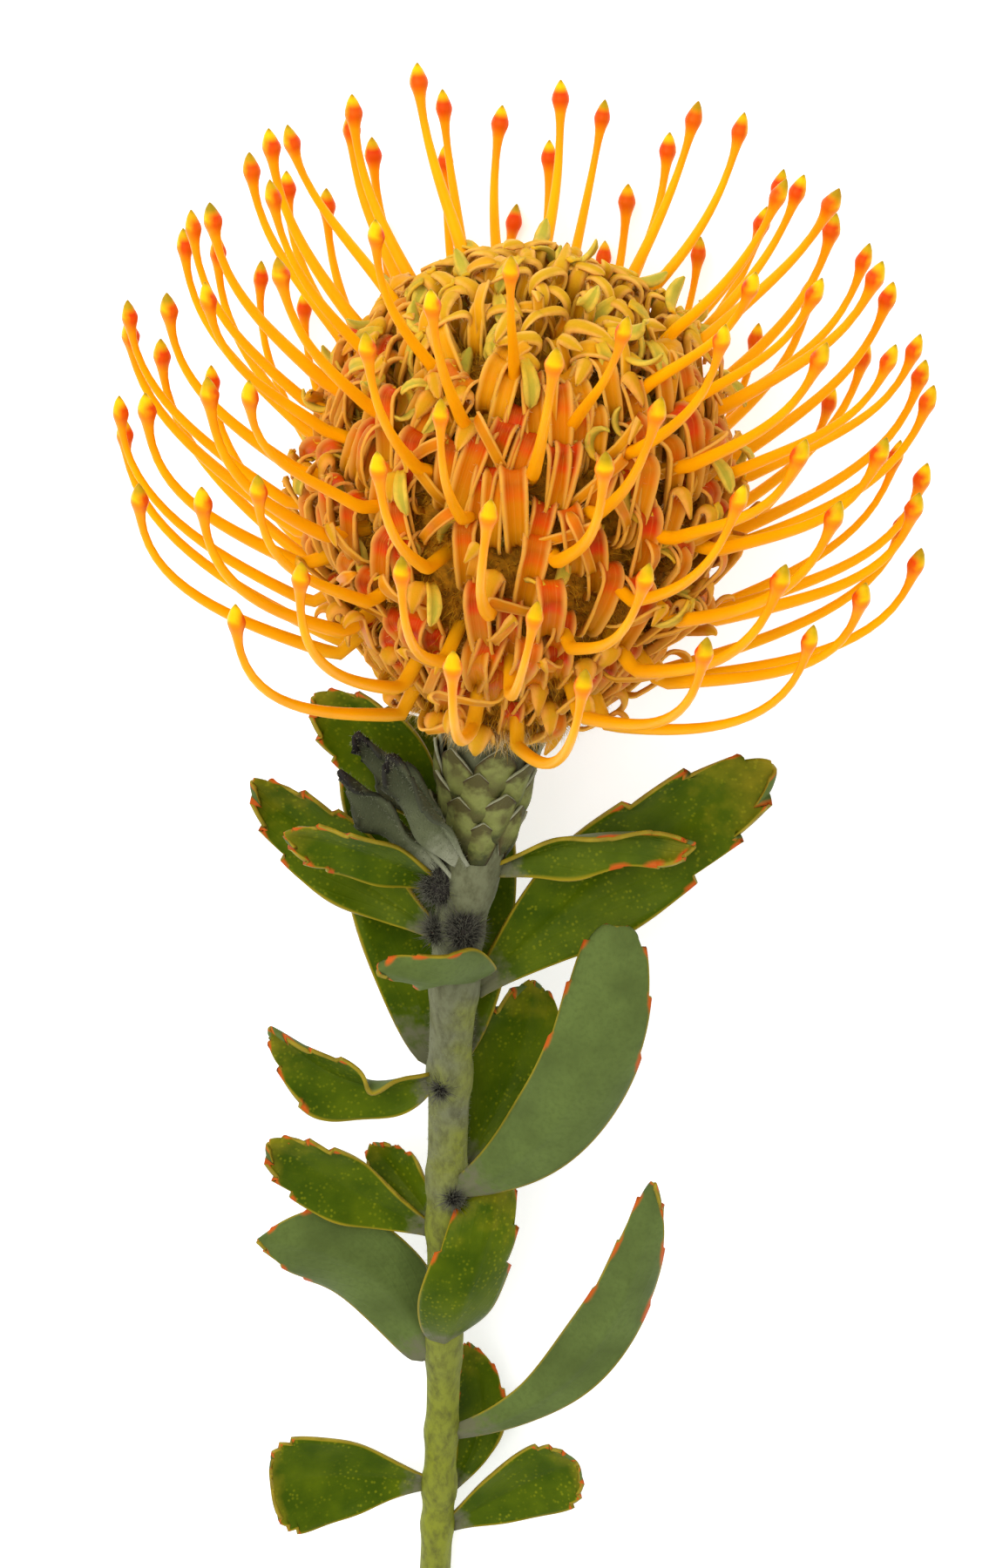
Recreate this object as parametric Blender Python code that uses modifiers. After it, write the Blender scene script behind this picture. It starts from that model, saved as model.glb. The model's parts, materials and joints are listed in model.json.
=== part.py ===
"""Pincushion protea (Leucospermum cordifolium): one cut flower stem, lying on a surface.

The stem runs along Y with its flower head towards +Y. The floor is z = 0. The head lies on a few of
its own styles and the stem on its cut end. Lengths are in millimetres here and metres in the meshes.
"""
import math
import random

import bmesh
import bpy
from mathutils import Matrix, Vector

MM = 0.001
GAP = 0.35                                  # between one piece and the next

# Where the flower lies
HEAD = Vector((-0.8, 67.8, 47.5))           # centre of the dome of florets
HEAD_RISE = 13.2                            # degrees, the head's axis above the floor
HEAD_LEAN = 6.5                             # degrees, the head's axis turned towards +X
FLOOR_REACH = 0.3                           # what comes lower than this is pressed flat on the floor

# Flower head, in its own frame with +Z to the apex
DOME = (31.0, 35.6)                         # dome of curled perianths: radius across, radius along
CORE = (25.0, 29.4)                         # solid receptacle that the florets stand out of
FLORETS = 132
FLORET_ARC = (7.0, 146.0)                   # degrees from the apex, first and last floret
STYLE_ARC = (36.0, 125.0)                   # florets between these carry a style
STYLE_TIP_ARC = (31.0, 90.0)                # degrees from the apex, where those styles end
STYLE_SINK = 20.0                           # degrees that the lowest styles start below their floret
STYLE_REACH = 59.5                          # from the dome's centre to a style's tip
STYLE_RADII = (1.35, 1.15, 1.0, 0.95, 0.85, 0.62, 1.4, 0.35)
RIBBON_WIDTH = 6.0
RIBBON_THICK = 1.3
NECK_RADIUS = 5.6
NECK_END = -35.0                            # flat underside of the head, on its axis
GOLDEN = math.radians(137.508)
SEED = 11

# Stem: x and y from the head's centre, height above the floor, radius; cut end first
STEM = (
    (-13.6, -192.0, 2.28, 2.40),
    (-12.6, -172.0, 6.8, 2.40),
    (-11.6, -149.0, 12.4, 2.50),
    (-10.9, -117.0, 19.8, 2.75),
    (-9.9, -87.0, 27.0, 3.15),
    (-8.6, -67.0, 31.7, 3.60),
    (-6.9, -57.5, 34.0, 4.10),
)
CONE_RADII = (4.1, 5.2, 6.2)                # involucral cone, from the stem up to the head
CONE_HEIGHTS = (-53.5, -45.0, -35.0)        # along the head's axis
SCALES = 22
SCALE_SIZE = (2.9, 1.1, 4.6)                # half width, half thickness, half length
BUD_RADIUS = 1.7
BUDS = ((-63.5, 150.0), (-70.0, 80.0), (-96.0, 120.0), (-114.5, 95.0))   # y, degrees round the stem

# Leaves
BLADE_THICK = 0.7
LEAF_ROWS = (0.0, 0.10, 0.22, 0.36, 0.50, 0.62, 0.72, 0.79, 0.84, 0.89, 0.93, 0.97, 1.0)
LEAF_COLUMNS = 4
BRACT_COLUMNS = 2
FOOT_HALF = 1.2                             # half width of a leaf where it meets the stem
TOOTH = 0.10                                # depth of the teeth, as a part of the half width
# name: y where it leaves the stem, degrees round the stem (0 is +X, 90 is up), then middle and tip of
# the midrib (x and y from the head's centre, height), width, where along it is widest (0 to 1), the
# way its upper face looks, cup
LEAVES = {
    "leaf_01": (-53, 185, (-19, -42, 33), (-29, -32, 34), 12, 0.64, (0, 0, 1), 0.15),
    "leaf_02": (-92, 245, (-13, -62, 21), (-18, -38, 22), 26, 0.64, (0, 0, 1), 0.12),
    "leaf_03": (-68, 185, (-25, -59, 28), (-38, -45, 32), 12, 0.64, (0, 0, 1), 0.15),
    "leaf_04": (-60.5, 175, (-22, -54, 40), (-33, -50, 42), 9, 0.6, (0, -1, 2), 0.25),
    "leaf_05": (-75, 20, (-9, -71, 41), (-20, -69, 45), 9, 0.5, (0, 2, -3), 0.25),
    "leaf_06": (-57, 10, (12, -54, 37), (25, -52, 40), 8, 0.5, (0, -1, 2), 0.35),
    "leaf_07": (-78, -5, (13, -60, 31), (36, -41, 38), 17, 0.6, (0, 0, 1), 0.15),
    "leaf_08": (-111, 62, (8, -93, 35), (14, -64, 40), 15, 0.6, (0, 0, -1), 0.2),
    "leaf_09": (-109, -30, (-1, -94, 19), (2, -79, 21), 15, 0.6, (0, 0, 1), 0.12),
    "leaf_10": (-92, 165, (-24, -91, 29), (-36, -82, 33), 11, 0.6, (0, -1, 2), 0.3),
    "leaf_11": (-119, 180, (-26, -112, 21), (-37, -103, 25), 11, 0.66, (0, 0, 1), 0.15),
    "leaf_12": (-117, 200, (-18, -113, 16), (-22, -107, 15), 8, 0.66, (0, 0, 1), 0.1),
    "leaf_13": (-142, 165, (-25, -128, 18), (-39, -119, 24), 14, 0.6, (0, 0, -1), 0.2),
    "leaf_14": (-138, 90, (-7, -125, 25), (-2, -109, 20), 13, 0.5, (-1, 0, -3), 0.2),
    "leaf_15": (-156, 15, (10, -139, 19), (20, -108, 28), 11, 0.6, (0, 0, -1), 0.15),
    "leaf_16": (-167, -30, (-6, -157, 5), (-8, -143, 7), 8, 0.64, (0, 0, 1), 0.1),
    "leaf_17": (-166, 175, (-27, -164, 11), (-38, -164, 14), 16, 0.82, (0, 0, 1), 0.15),
    "leaf_18": (-174, 0, (0, -167, 9), (9, -161, 12), 12, 0.78, (0, 0, 1), 0.15),
    "bract_leaf_01": (-58, 143, (-18, -47, 41), (-25, -40, 44), 6, 0.5, (-1, -1, 2), 0.2),
    "bract_leaf_02": (-55, 112, (-14, -44, 46), (-18, -36, 50), 6, 0.5, (-1, -1, 2), 0.2),
    "bract_leaf_03": (-52, 150, (-17, -43, 38), (-23, -36, 40), 6, 0.5, (-1, 0, 2), 0.2),
}

STYLE_COLOUR = (0.95, 0.40, 0.01)
STEM_COLOUR = (0.24, 0.27, 0.11)
LEAF_COLOUR = (0.06, 0.16, 0.02)
BRACT_COLOUR = (0.17, 0.20, 0.12)


def head_frame():
    """World frame of the flower head: millimetres, +Z along its axis to the apex."""
    lie_down = Matrix.Rotation(math.radians(HEAD_RISE - 90.0), 4, "X")
    lean = Matrix.Rotation(math.radians(-HEAD_LEAN), 4, "Z")
    return Matrix.Translation(HEAD) @ lean @ lie_down


HEAD_FRAME = head_frame()


def collection_named(name):
    """A new collection in the scene."""
    found = bpy.data.collections.new(name)
    bpy.context.scene.collection.children.link(found)
    return found


def material(name, colour, roughness):
    """A Principled material of one colour."""
    made = bpy.data.materials.new(name)
    made.use_nodes = True
    shader = made.node_tree.nodes["Principled BSDF"]
    shader.inputs["Base Color"].default_value = (*colour, 1.0)
    shader.inputs["Roughness"].default_value = roughness
    shader.inputs["Metallic"].default_value = 0.0
    return made


def object_from(name, bm, home):
    """Turn a bmesh in millimetres into an object in metres."""
    bmesh.ops.scale(bm, vec=(MM, MM, MM), verts=bm.verts)
    mesh = bpy.data.meshes.new(name)
    bm.to_mesh(mesh)
    bm.free()
    made = bpy.data.objects.new(name, mesh)
    home.objects.link(made)
    return made


def lerp(low, high, share):
    """Value at a share of the way from low to high."""
    return low + (high - low) * share


def rod(sides, points, across, sizes):
    """A rod bent along points; across is its width's direction, sizes its half width and depth."""
    bm = bmesh.new()
    bmesh.ops.create_cone(bm, segments=sides, radius1=1.0, radius2=1.0, depth=1.0, cap_ends=True)
    long_edges = [e for e in bm.edges if abs(e.verts[0].co.z - e.verts[1].co.z) > 0.5]
    bmesh.ops.subdivide_edges(bm, edges=long_edges, cuts=len(points) - 2)
    last = len(points) - 1
    for vert in bm.verts:
        k = round((vert.co.z + 0.5) * last)
        along = (points[min(k + 1, last)] - points[max(k - 1, 0)]).normalized()
        wide = (across - along * across.dot(along)).normalized()
        deep = along.cross(wide)
        half_width, half_depth = sizes[k]
        vert.co = points[k] + wide * vert.co.x * half_width + deep * vert.co.y * half_depth
    return bm


def on_ovoid(radii, polar):
    """Radius from the axis and height on an ovoid, at an angle from its apex."""
    return radii[0] * math.sin(polar), radii[1] * math.cos(polar)


def in_head(radius, height, azimuth):
    """World point, from a radius and height about the head's axis."""
    spot = Vector((radius * math.cos(azimuth), radius * math.sin(azimuth), height))
    return HEAD_FRAME @ spot


def lifted(spot, clearance):
    """A point kept at least a clearance above the floor."""
    return Vector((spot.x, spot.y, max(spot.z, clearance)))


def floret_places():
    """Angle from the apex and azimuth of each floret: a golden spiral, slightly uneven."""
    draw = random.Random(SEED)
    first, last = (math.cos(math.radians(a)) for a in FLORET_ARC)
    for k in range(FLORETS):
        polar = math.acos(lerp(first, last, (k + 0.5) / FLORETS))
        azimuth = k * GOLDEN + draw.uniform(-0.05, 0.05)
        yield polar + draw.uniform(-0.02, 0.02), azimuth, draw


def style_points(polar, azimuth, draw):
    """Path of one style: out of the dome, then bending round to point at the apex."""
    first, last = (math.radians(a) for a in STYLE_ARC)
    share = (polar - first) / (last - first)
    low = polar + math.radians(STYLE_SINK) * max(share, 0.0) ** 2.5
    root_r, root_z = on_ovoid(DOME, low)
    tip_polar = math.radians(lerp(*STYLE_TIP_ARC, share)) + draw.uniform(-0.035, 0.035)
    reach = STYLE_REACH - 6.0 * max(share, 0.0) ** 3 + draw.uniform(-1.5, 1.5)
    tip_r, tip_z = reach * math.sin(tip_polar), reach * math.cos(tip_polar)
    out = math.radians(lerp(40.0, 72.0, share))
    leave = lerp(7.0, 22.0, share)
    arrive = lerp(9.0, 15.0, share)
    lean_in = lerp(0.12, -0.06, share)
    corners = ((root_r * 0.7, root_z * 0.7), (root_r, root_z),
               (root_r + leave * math.sin(out), root_z + leave * math.cos(out)),
               (tip_r - lean_in * arrive, tip_z - arrive), (tip_r, tip_z))
    inner = in_head(*corners[0], azimuth)
    control = [in_head(*c, azimuth) for c in corners[1:]]
    path = [inner] + [bezier(control, t) for t in (0.1, 0.33, 0.54, 0.74, 0.915, 0.96, 1.0)]
    return [lifted(p, r) for p, r in zip(path, STYLE_RADII)]


def bezier(control, t):
    """Point on a cubic Bezier curve."""
    a, b, c, d = control
    s = 1.0 - t
    return a * s ** 3 + b * 3 * s * s * t + c * 3 * s * t * t + d * t ** 3


def style(polar, azimuth, draw):
    """One style: a tapering filament with its bulged pollen presenter at the tip."""
    across = HEAD_FRAME.to_3x3() @ Vector((-math.sin(azimuth), math.cos(azimuth), 0.0))
    sizes = [(r, r) for r in STYLE_RADII]
    return rod(3, style_points(polar, azimuth, draw), across, sizes)


def ribbon(polar, azimuth, draw):
    """One curled perianth: a strap that rises from the core and rolls over."""
    side = azimuth + 0.16
    root_r, root_z = on_ovoid(CORE, polar)
    turn = HEAD_FRAME.to_3x3()
    outward = turn @ Vector((math.sin(polar) * math.cos(side), math.sin(polar) * math.sin(side),
                             math.cos(polar)))
    level = turn @ Vector((-math.sin(side), math.cos(side), 0.0))
    away = outward.cross(level)
    if away.dot(turn @ Vector((0.0, 0.0, 1.0))) > 0.0:
        away = -away
    swing = draw.uniform(-0.9, 0.9)
    roll = away * math.cos(swing) + level * math.sin(swing)
    scale = draw.uniform(0.9, 1.12)
    root = in_head(root_r, root_z, side)
    arch = ((-2.5, -1.0), (4.2, -0.9), (6.3, 1.9), (4.9, 4.8), (2.2, 4.4))
    path = [root + (outward * h + roll * d) * scale for h, d in arch]
    sizes = [(RIBBON_WIDTH / 2 * w, RIBBON_THICK / 2) for w in (0.8, 1.0, 1.0, 0.9, 0.6)]
    return rod(3, [lifted(p, 1.0) for p in path], outward.cross(roll), sizes)


def united(target, parts):
    """Join everything in a collection to the target with one Boolean, and empty the collection."""
    union = target.modifiers.new("union", "BOOLEAN")
    union.operation = "UNION"
    union.operand_type = "COLLECTION"
    union.collection = parts
    union.solver = "MANIFOLD"
    bpy.context.view_layer.update()
    seen = target.evaluated_get(bpy.context.evaluated_depsgraph_get())
    mesh = bpy.data.meshes.new_from_object(seen)
    target.modifiers.clear()
    one_body(mesh)
    target.data = mesh
    for used in list(parts.objects):
        bpy.data.objects.remove(used)
    bpy.data.collections.remove(parts)


def one_body(mesh):
    """Keep the largest shell: a hollow that the union sealed is filled and a loose scrap dropped."""
    bm = bmesh.new()
    bm.from_mesh(mesh)
    left = set(bm.verts)
    shells = []
    while left:
        shell, edge = set(), [left.pop()]
        while edge:
            vert = edge.pop()
            shell.add(vert)
            near = {e.other_vert(vert) for e in vert.link_edges} & left
            left -= near
            edge.extend(near)
        shells.append(shell)
    shells.sort(key=len)
    spare = [vert for shell in shells[:-1] for vert in shell]
    bmesh.ops.delete(bm, geom=spare, context="VERTS")
    bm.to_mesh(mesh)
    bm.free()


def pressed_on_floor(made):
    """Flatten what reaches the floor, so that it rests on small flat spots."""
    for vert in made.data.vertices:
        if vert.co.z < FLOOR_REACH * MM:
            vert.co.z = 0.0


def flower_head(home):
    """Receptacle, curled perianths and styles, in one solid."""
    bm = bmesh.new()
    bmesh.ops.create_uvsphere(bm, u_segments=16, v_segments=10, radius=1.0)
    bmesh.ops.scale(bm, vec=(CORE[0], CORE[0], CORE[1]), verts=bm.verts)
    bmesh.ops.transform(bm, matrix=HEAD_FRAME, verts=bm.verts)
    head = object_from("flower_head", bm, home)
    florets = collection_named("florets")
    neck = [HEAD_FRAME @ Vector((0.0, 0.0, z)) for z in (NECK_END, -30.0, -22.0)]
    across = HEAD_FRAME.to_3x3() @ Vector((1.0, 0.0, 0.0))
    object_from("neck", rod(12, neck, across, [(NECK_RADIUS, NECK_RADIUS)] * 3), florets)
    first, last = (math.radians(a) for a in STYLE_ARC)
    for polar, azimuth, draw in floret_places():
        object_from("perianth", ribbon(polar, azimuth, draw), florets)
        if first < polar < last:
            object_from("style", style(polar, azimuth, draw), florets)
    united(head, florets)
    pressed_on_floor(head)
    head.data.materials.clear()
    head.data.materials.append(material("petal", STYLE_COLOUR, 0.9))
    return head


def stem_points():
    """Centre points and radii up the stem and through the involucral cone."""
    base = Vector((HEAD.x, HEAD.y, 0.0))
    path = [(base + Vector((x, y, z)), r) for x, y, z, r in STEM]
    for height, radius in zip(CONE_HEIGHTS, CONE_RADII):
        path.append((HEAD_FRAME @ Vector((0.0, 0.0, height)), radius))
    top = HEAD_FRAME @ Vector((0.0, 0.0, NECK_END - GAP))
    path[-1] = (top, CONE_RADII[-1])
    return path


def stem_at(y):
    """Centre and radius of the stem where it passes a distance y from the head's centre."""
    path = stem_points()[:len(STEM) + 1]
    for (low, low_r), (high, high_r) in zip(path, path[1:]):
        if low.y <= HEAD.y + y <= high.y:
            share = (HEAD.y + y - low.y) / (high.y - low.y)
            return low.lerp(high, share), lerp(low_r, high_r, share)
    raise ValueError("no stem at that place")


def stem_tube(home):
    """The stem as a tapering curve, turned into a mesh with welded ends."""
    curve = bpy.data.curves.new("stem_path", "CURVE")
    curve.dimensions = "3D"
    curve.bevel_depth = MM
    curve.bevel_resolution = 3
    curve.use_fill_caps = True
    spline = curve.splines.new("POLY")
    path = stem_points()
    spline.points.add(len(path) - 1)
    for point, (spot, radius) in zip(spline.points, path):
        point.co = (*(spot * MM), 1.0)
        point.radius = radius
    rail = bpy.data.objects.new("stem_path", curve)
    home.objects.link(rail)
    bpy.context.view_layer.update()
    seen = rail.evaluated_get(bpy.context.evaluated_depsgraph_get())
    mesh = bpy.data.meshes.new_from_object(seen)
    bm = bmesh.new()
    bm.from_mesh(mesh)
    bmesh.ops.remove_doubles(bm, verts=bm.verts, dist=0.00001)
    bm.to_mesh(mesh)
    bm.free()
    stem = bpy.data.objects.new("stem_with_bracts", mesh)
    stem.matrix_world = rail.matrix_world.copy()
    home.objects.link(stem)
    bpy.data.objects.remove(rail)
    return stem


def scale_bract(k):
    """One scale of the involucre, pressed to the cone with its point to the head."""
    share = (k + 0.5) / SCALES
    height = lerp(-52.0, -39.5, share)
    radius = lerp(3.9, 5.6, share)
    azimuth = k * GOLDEN
    bm = bmesh.new()
    bmesh.ops.create_icosphere(bm, subdivisions=1, radius=1.0)
    bmesh.ops.scale(bm, vec=SCALE_SIZE, verts=bm.verts)
    tilt = Matrix.Rotation(math.radians(-10.0), 4, "X")
    turn = Matrix.Rotation(azimuth - math.pi / 2, 4, "Z")
    place = Matrix.Translation((radius * math.cos(azimuth), radius * math.sin(azimuth), height))
    bmesh.ops.transform(bm, matrix=HEAD_FRAME @ place @ turn @ tilt, verts=bm.verts)
    return bm


def bud(y, side):
    """A woolly bud in a leaf's axil."""
    centre, radius = stem_at(y)
    bm = bmesh.new()
    bmesh.ops.create_icosphere(bm, subdivisions=1, radius=BUD_RADIUS)
    place = centre + Vector((math.cos(side), 0.0, math.sin(side))) * radius
    bmesh.ops.translate(bm, vec=place, verts=bm.verts)
    return bm


def stem_with_bracts(home):
    """Stem, involucral scales and axillary buds, in one solid."""
    stem = stem_tube(home)
    outgrowths = collection_named("outgrowths")
    for k in range(SCALES):
        object_from("scale", scale_bract(k), outgrowths)
    for y, side in BUDS:
        object_from("bud", bud(y, math.radians(side)), outgrowths)
    united(stem, outgrowths)
    pressed_on_floor(stem)
    stem.data.materials.clear()
    stem.data.materials.append(material("stem", STEM_COLOUR, 0.65))
    return stem


def half_width(share, widest, width):
    """Half width of an obovate leaf, at a share of its length from the foot."""
    if share < widest:
        return lerp(FOOT_HALF, width / 2, math.sin(0.5 * math.pi * share / widest) ** 1.4)
    return width / 2 * math.sqrt(1.0 - ((share - widest) / (1.025 - widest)) ** 2)


def midrib(y, side, middle, tip, face):
    """Foot, knee and tip of a leaf's midrib; the foot stands clear of the stem."""
    base = Vector((HEAD.x, HEAD.y, 0.0))
    centre, radius = stem_at(y)
    outward = Vector((math.cos(side), 0.0, math.sin(side)))
    middle, tip = base + Vector(middle), base + Vector(tip)
    foot = centre + outward * (radius + GAP + BLADE_THICK / 2)
    for _ in range(3):
        knee = 2 * middle - 0.5 * (foot + tip)
        across = (knee - foot).cross(Vector(face)).normalized()
        stand = GAP + BLADE_THICK / 2 + FOOT_HALF * abs(across.dot(outward))
        foot = centre + outward * (radius + stand)
    return foot, knee, tip


def leaf(name, y, side, middle, tip, width, widest, face, cup, home):
    """A blade along a bent midrib, toothed at its tip."""
    foot, knee, tip = midrib(y, math.radians(side), middle, tip, face)
    last = len(LEAF_ROWS) - 1
    grey = name.startswith("bract")
    bm = bmesh.new()
    bmesh.ops.create_grid(bm, x_segments=BRACT_COLUMNS if grey else LEAF_COLUMNS,
                          y_segments=last, size=1.0)
    for vert in bm.verts:
        row = round((vert.co.y + 1.0) / 2.0 * last)
        t, u = LEAF_ROWS[row], vert.co.x
        spot = foot * (1 - t) ** 2 + knee * 2 * t * (1 - t) + tip * t * t
        along = ((knee - foot) * (1 - t) + (tip - knee) * t).normalized()
        across = along.cross(Vector(face)).normalized()
        spread = half_width(t, widest, width)
        if row > 5 and row % 2 == 1:
            spread *= 1.0 - TOOTH * abs(u)
        rise = cup * spread * (u * u - 0.4)
        vert.co = spot + across * u * spread + across.cross(along) * rise
    bmesh.ops.triangulate(bm, faces=bm.faces)
    made = object_from(name, bm, home)
    thick = made.modifiers.new("thickness", "SOLIDIFY")
    thick.thickness = BLADE_THICK * MM
    thick.offset = 0.0
    made.data.materials.append(material(name, BRACT_COLOUR if grey else LEAF_COLOUR, 0.55))
    return made


def main():
    for old in list(bpy.data.objects):
        bpy.data.objects.remove(old)
    home = collection_named("pincushion_protea")
    flower_head(home)
    stem_with_bracts(home)
    for name, numbers in LEAVES.items():
        leaf(name, *numbers, home)


main()
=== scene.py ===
"""Pincushion protea flower: the finished flower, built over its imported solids.

The stem lies along Y with its flower head towards +Y, on the floor at z = 0. Everything is in
metres. Each operator below builds one piece, or one group of like pieces, from the settings.
"""
import json
import math
import random
from collections import namedtuple

import bmesh
import bpy
import numpy as np
from bpy.props import FloatProperty, FloatVectorProperty, IntProperty, PointerProperty
from mathutils import Matrix, Vector

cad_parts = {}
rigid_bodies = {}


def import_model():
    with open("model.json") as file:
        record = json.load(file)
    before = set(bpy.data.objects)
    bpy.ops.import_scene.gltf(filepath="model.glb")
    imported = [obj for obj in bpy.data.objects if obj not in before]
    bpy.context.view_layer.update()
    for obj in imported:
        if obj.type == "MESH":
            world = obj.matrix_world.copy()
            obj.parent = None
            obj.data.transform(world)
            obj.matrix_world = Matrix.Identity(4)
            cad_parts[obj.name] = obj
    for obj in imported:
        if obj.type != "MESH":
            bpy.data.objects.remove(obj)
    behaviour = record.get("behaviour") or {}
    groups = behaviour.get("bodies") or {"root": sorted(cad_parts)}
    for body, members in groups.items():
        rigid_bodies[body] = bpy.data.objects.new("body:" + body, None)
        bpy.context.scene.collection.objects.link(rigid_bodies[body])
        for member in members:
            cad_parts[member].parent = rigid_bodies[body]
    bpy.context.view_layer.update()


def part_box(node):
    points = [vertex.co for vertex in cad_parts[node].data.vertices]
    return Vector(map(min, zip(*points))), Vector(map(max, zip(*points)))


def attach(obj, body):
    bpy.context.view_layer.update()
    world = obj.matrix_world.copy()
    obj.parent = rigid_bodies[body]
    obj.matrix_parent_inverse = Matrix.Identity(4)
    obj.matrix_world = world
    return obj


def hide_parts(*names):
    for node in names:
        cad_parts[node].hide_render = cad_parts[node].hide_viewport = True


bl_info = {
    "name": "Pincushion Protea",
    "version": (1, 0, 0),
    "blender": (4, 5, 0),
    "location": "3D View > Sidebar > Protea",
    "description": "Builds a cut pincushion protea flower over its packed solids",
    "category": "Add Mesh",
}

for leftover in list(bpy.data.objects):
    bpy.data.objects.remove(leftover)
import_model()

MM = 0.001
GOLDEN = math.radians(137.508)              # turn from one floret, or scale, to the next
SEED = 11                                   # the draws that place florets, as in the solids
FLORET_ARC = (7.0, 146.0)                   # degrees from the apex, first and last floret
STYLE_ARC = (36.0, 125.0)                   # florets between these carry a style
STYLE_TIP_ARC = (31.0, 90.0)                # degrees from the apex, where those styles end
LOW_CURL, CURL_ROOM = 5.0 * MM, 3.6 * MM    # perianths are held down where they curl higher
ARC_STEPS, STRAIGHT_STEP = 40, 14.0 * MM    # rings: a bend counts as this much straight length
ROOT_DEPTH = 2.2 * MM                       # perianths start this deep in the receptacle
CORE_END = math.radians(168.0)              # the receptacle runs this far from the apex
CORE_INSET = 0.6 * MM                       # its skin lies this deep under the florets' roots
NECK_RADIUS = 5.6 * MM
NECK_TOP, NECK_END = -30.0 * MM, -35.0 * MM  # neck under the head, on its axis; its underside
MIX_A, MIX_B, MIX_OUT = 6, 7, 2             # colour sockets of a Mix node
MATT_LEVEL = 0.18                           # specular level of plant skins, under their down
GOLDEN_SHINE = (1.0, 0.75, 0.25)            # tint of the shine on the waxy flower parts
LEAF_SHINE = (0.75, 0.8, 0.3)               # tint of the shine on leaves

# Wide straps besides those at the florets: ahead of florets this near the apex, in a skirt that
# hides the neck, and at the apex (degrees from the apex, number)
AHEAD_ARC = 84.0
SKIRT_ARC, SKIRT_STRAPS = (122.0, 164.0), 74
CROWN_ARC, CROWN_STRAPS = (3.0, 30.0), 26
# From a floret to its straps and its claw: away from the apex and round the axis, radians
BESIDE, BEHIND, AHEAD, CLAW = (0.0, 0.16), (-0.11, (-0.08, 0.05)), (0.06, -0.17), (0.04, -0.13)
# Straps behind and ahead of florets, in the skirt and in the crown: most swing (radians), sizes
SWINGS, SIZES = (0.9, 0.8, 0.2, 0.9), ((0.88, 1.1), (0.8, 1.05), (0.85, 1.05), (0.85, 1.05))
# Perianths along their length: a strap's widths and how far its edges wrap in, with 0 at its root,
# 1 at its bend and 2 at its tip; widths of a claw; half widths of a limb, mm
STRAP_WIDTHS = ((0.0, 0.6), (0.3, 0.9), (0.7, 1.0), (1.0, 1.0), (1.5, 0.75), (1.8, 0.45),
                (2.0, 0.06))
STRAP_WRAP = ((0.0, 1.7), (0.4, 1.5), (1.0, 1.3))
CLAW_WIDTHS = ((0.6, 1.0), (0.85, 1.25), (1.0, 0.15))
LIMB_HALVES = ((0.0, 0.6), (0.3, 0.9), (0.6, 1.05), (0.85, 0.7), (1.0, 0.1))
THIN_STRAP = 0.4 * MM                       # thickness of the claws and the limbs
RUN_BEND = np.radians(1.6)                  # a strap's straight run bends so far in a millimetre
LIMB_RING, LIMB_LENGTH = -7, 5.6 * MM       # limbs part from a strap this many rings from its end

# Styles, from the first of their arc to the last: degrees from the axis at which they leave the
# dome, straight run at the root and at the tip (mm), and how far the tip leans in (a share)
STYLE_OUT, STYLE_LEAVE, STYLE_ARRIVE = (40.0, 72.0), (7.0, 22.0), (9.0, 15.0)
STYLE_LEAN = (0.12, -0.06)
LOW_STYLE_SINK = math.radians(20.0)         # the last styles start lower on the dome
LOW_STYLE_SHORT = 6.0 * MM                  # and are shorter
# Across a style from its tip back: distance and radius, mm
STYLE_PROFILE = ((0.0, 0.10), (0.35, 0.36), (0.9, 0.68), (1.6, 0.95), (2.1, 1.12), (2.6, 1.2),
                 (3.1, 1.12), (3.9, 0.86), (5.2, 0.62), (7.0, 0.52), (10.0, 0.54))
STYLE_ROOT_RADIUS = 1.05 * MM
STYLE_SIDES, STYLE_RINGS, STYLE_SWAY = 10, 20, 1.1
TIP_BENT, TIP_ASIDE = 2.4 * MM, 0.32 * MM   # this end of a style stands so far to one side
TIP_STATIONS = (0.0, 0.2, 0.5, 0.9, 1.3, 1.7, 2.05, 2.35, 2.65, 3.0, 3.4, 4.0, 4.8, 6.0, 7.6, 10.0)

# Hairs: radii, drawn thick enough to show, and how many grow where
WOOL_RADIUS, DOWN_RADIUS = 0.06 * MM, 0.03 * MM
ASKEW = np.array((0.31, 0.57, 0.76))        # a direction that no hair follows
HAIR_ROOT = 0.28 * MM                       # from the middle of a bract leaf's blade
EDGE_HAIRS, BUD_HAIRS, STEM_HAIRS, BRACT_HAIRS = 16, 1100, 3200, 500
# Name, degrees from the apex, number, shortest and longest in mm
HEAD_WOOL = (("neck_wool", (146.0, 171.0), 3200, (1.5, 4.5)),
             ("floret_wool", (3.0, 166.0), 10500, (1.5, 4.6)))

# Stem: x and y from the head's centre, height above the floor, radius, mm; cut end first
STEM = ((-13.6, -192.0, 2.28, 2.40), (-12.6, -172.0, 6.8, 2.40), (-11.6, -149.0, 12.4, 2.50),
        (-10.9, -117.0, 19.8, 2.75), (-9.9, -87.0, 27.0, 3.15), (-8.6, -67.0, 31.7, 3.60),
        (-6.9, -57.5, 34.0, 4.10))
CONE = ((4.1, -53.5), (5.2, -45.0), (6.2, -35.35))    # radius and place on the head's axis, mm
STEM_RINGS, STEM_SIDES = 140, 32
RIDGES = ((5.0, 0.05, 0.06), (9.0, -0.08, 0.03))      # ribs of the stem: number, twist, depth (mm)
STEM_SOFTENED = 6                           # times that the line through those points is evened
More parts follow.
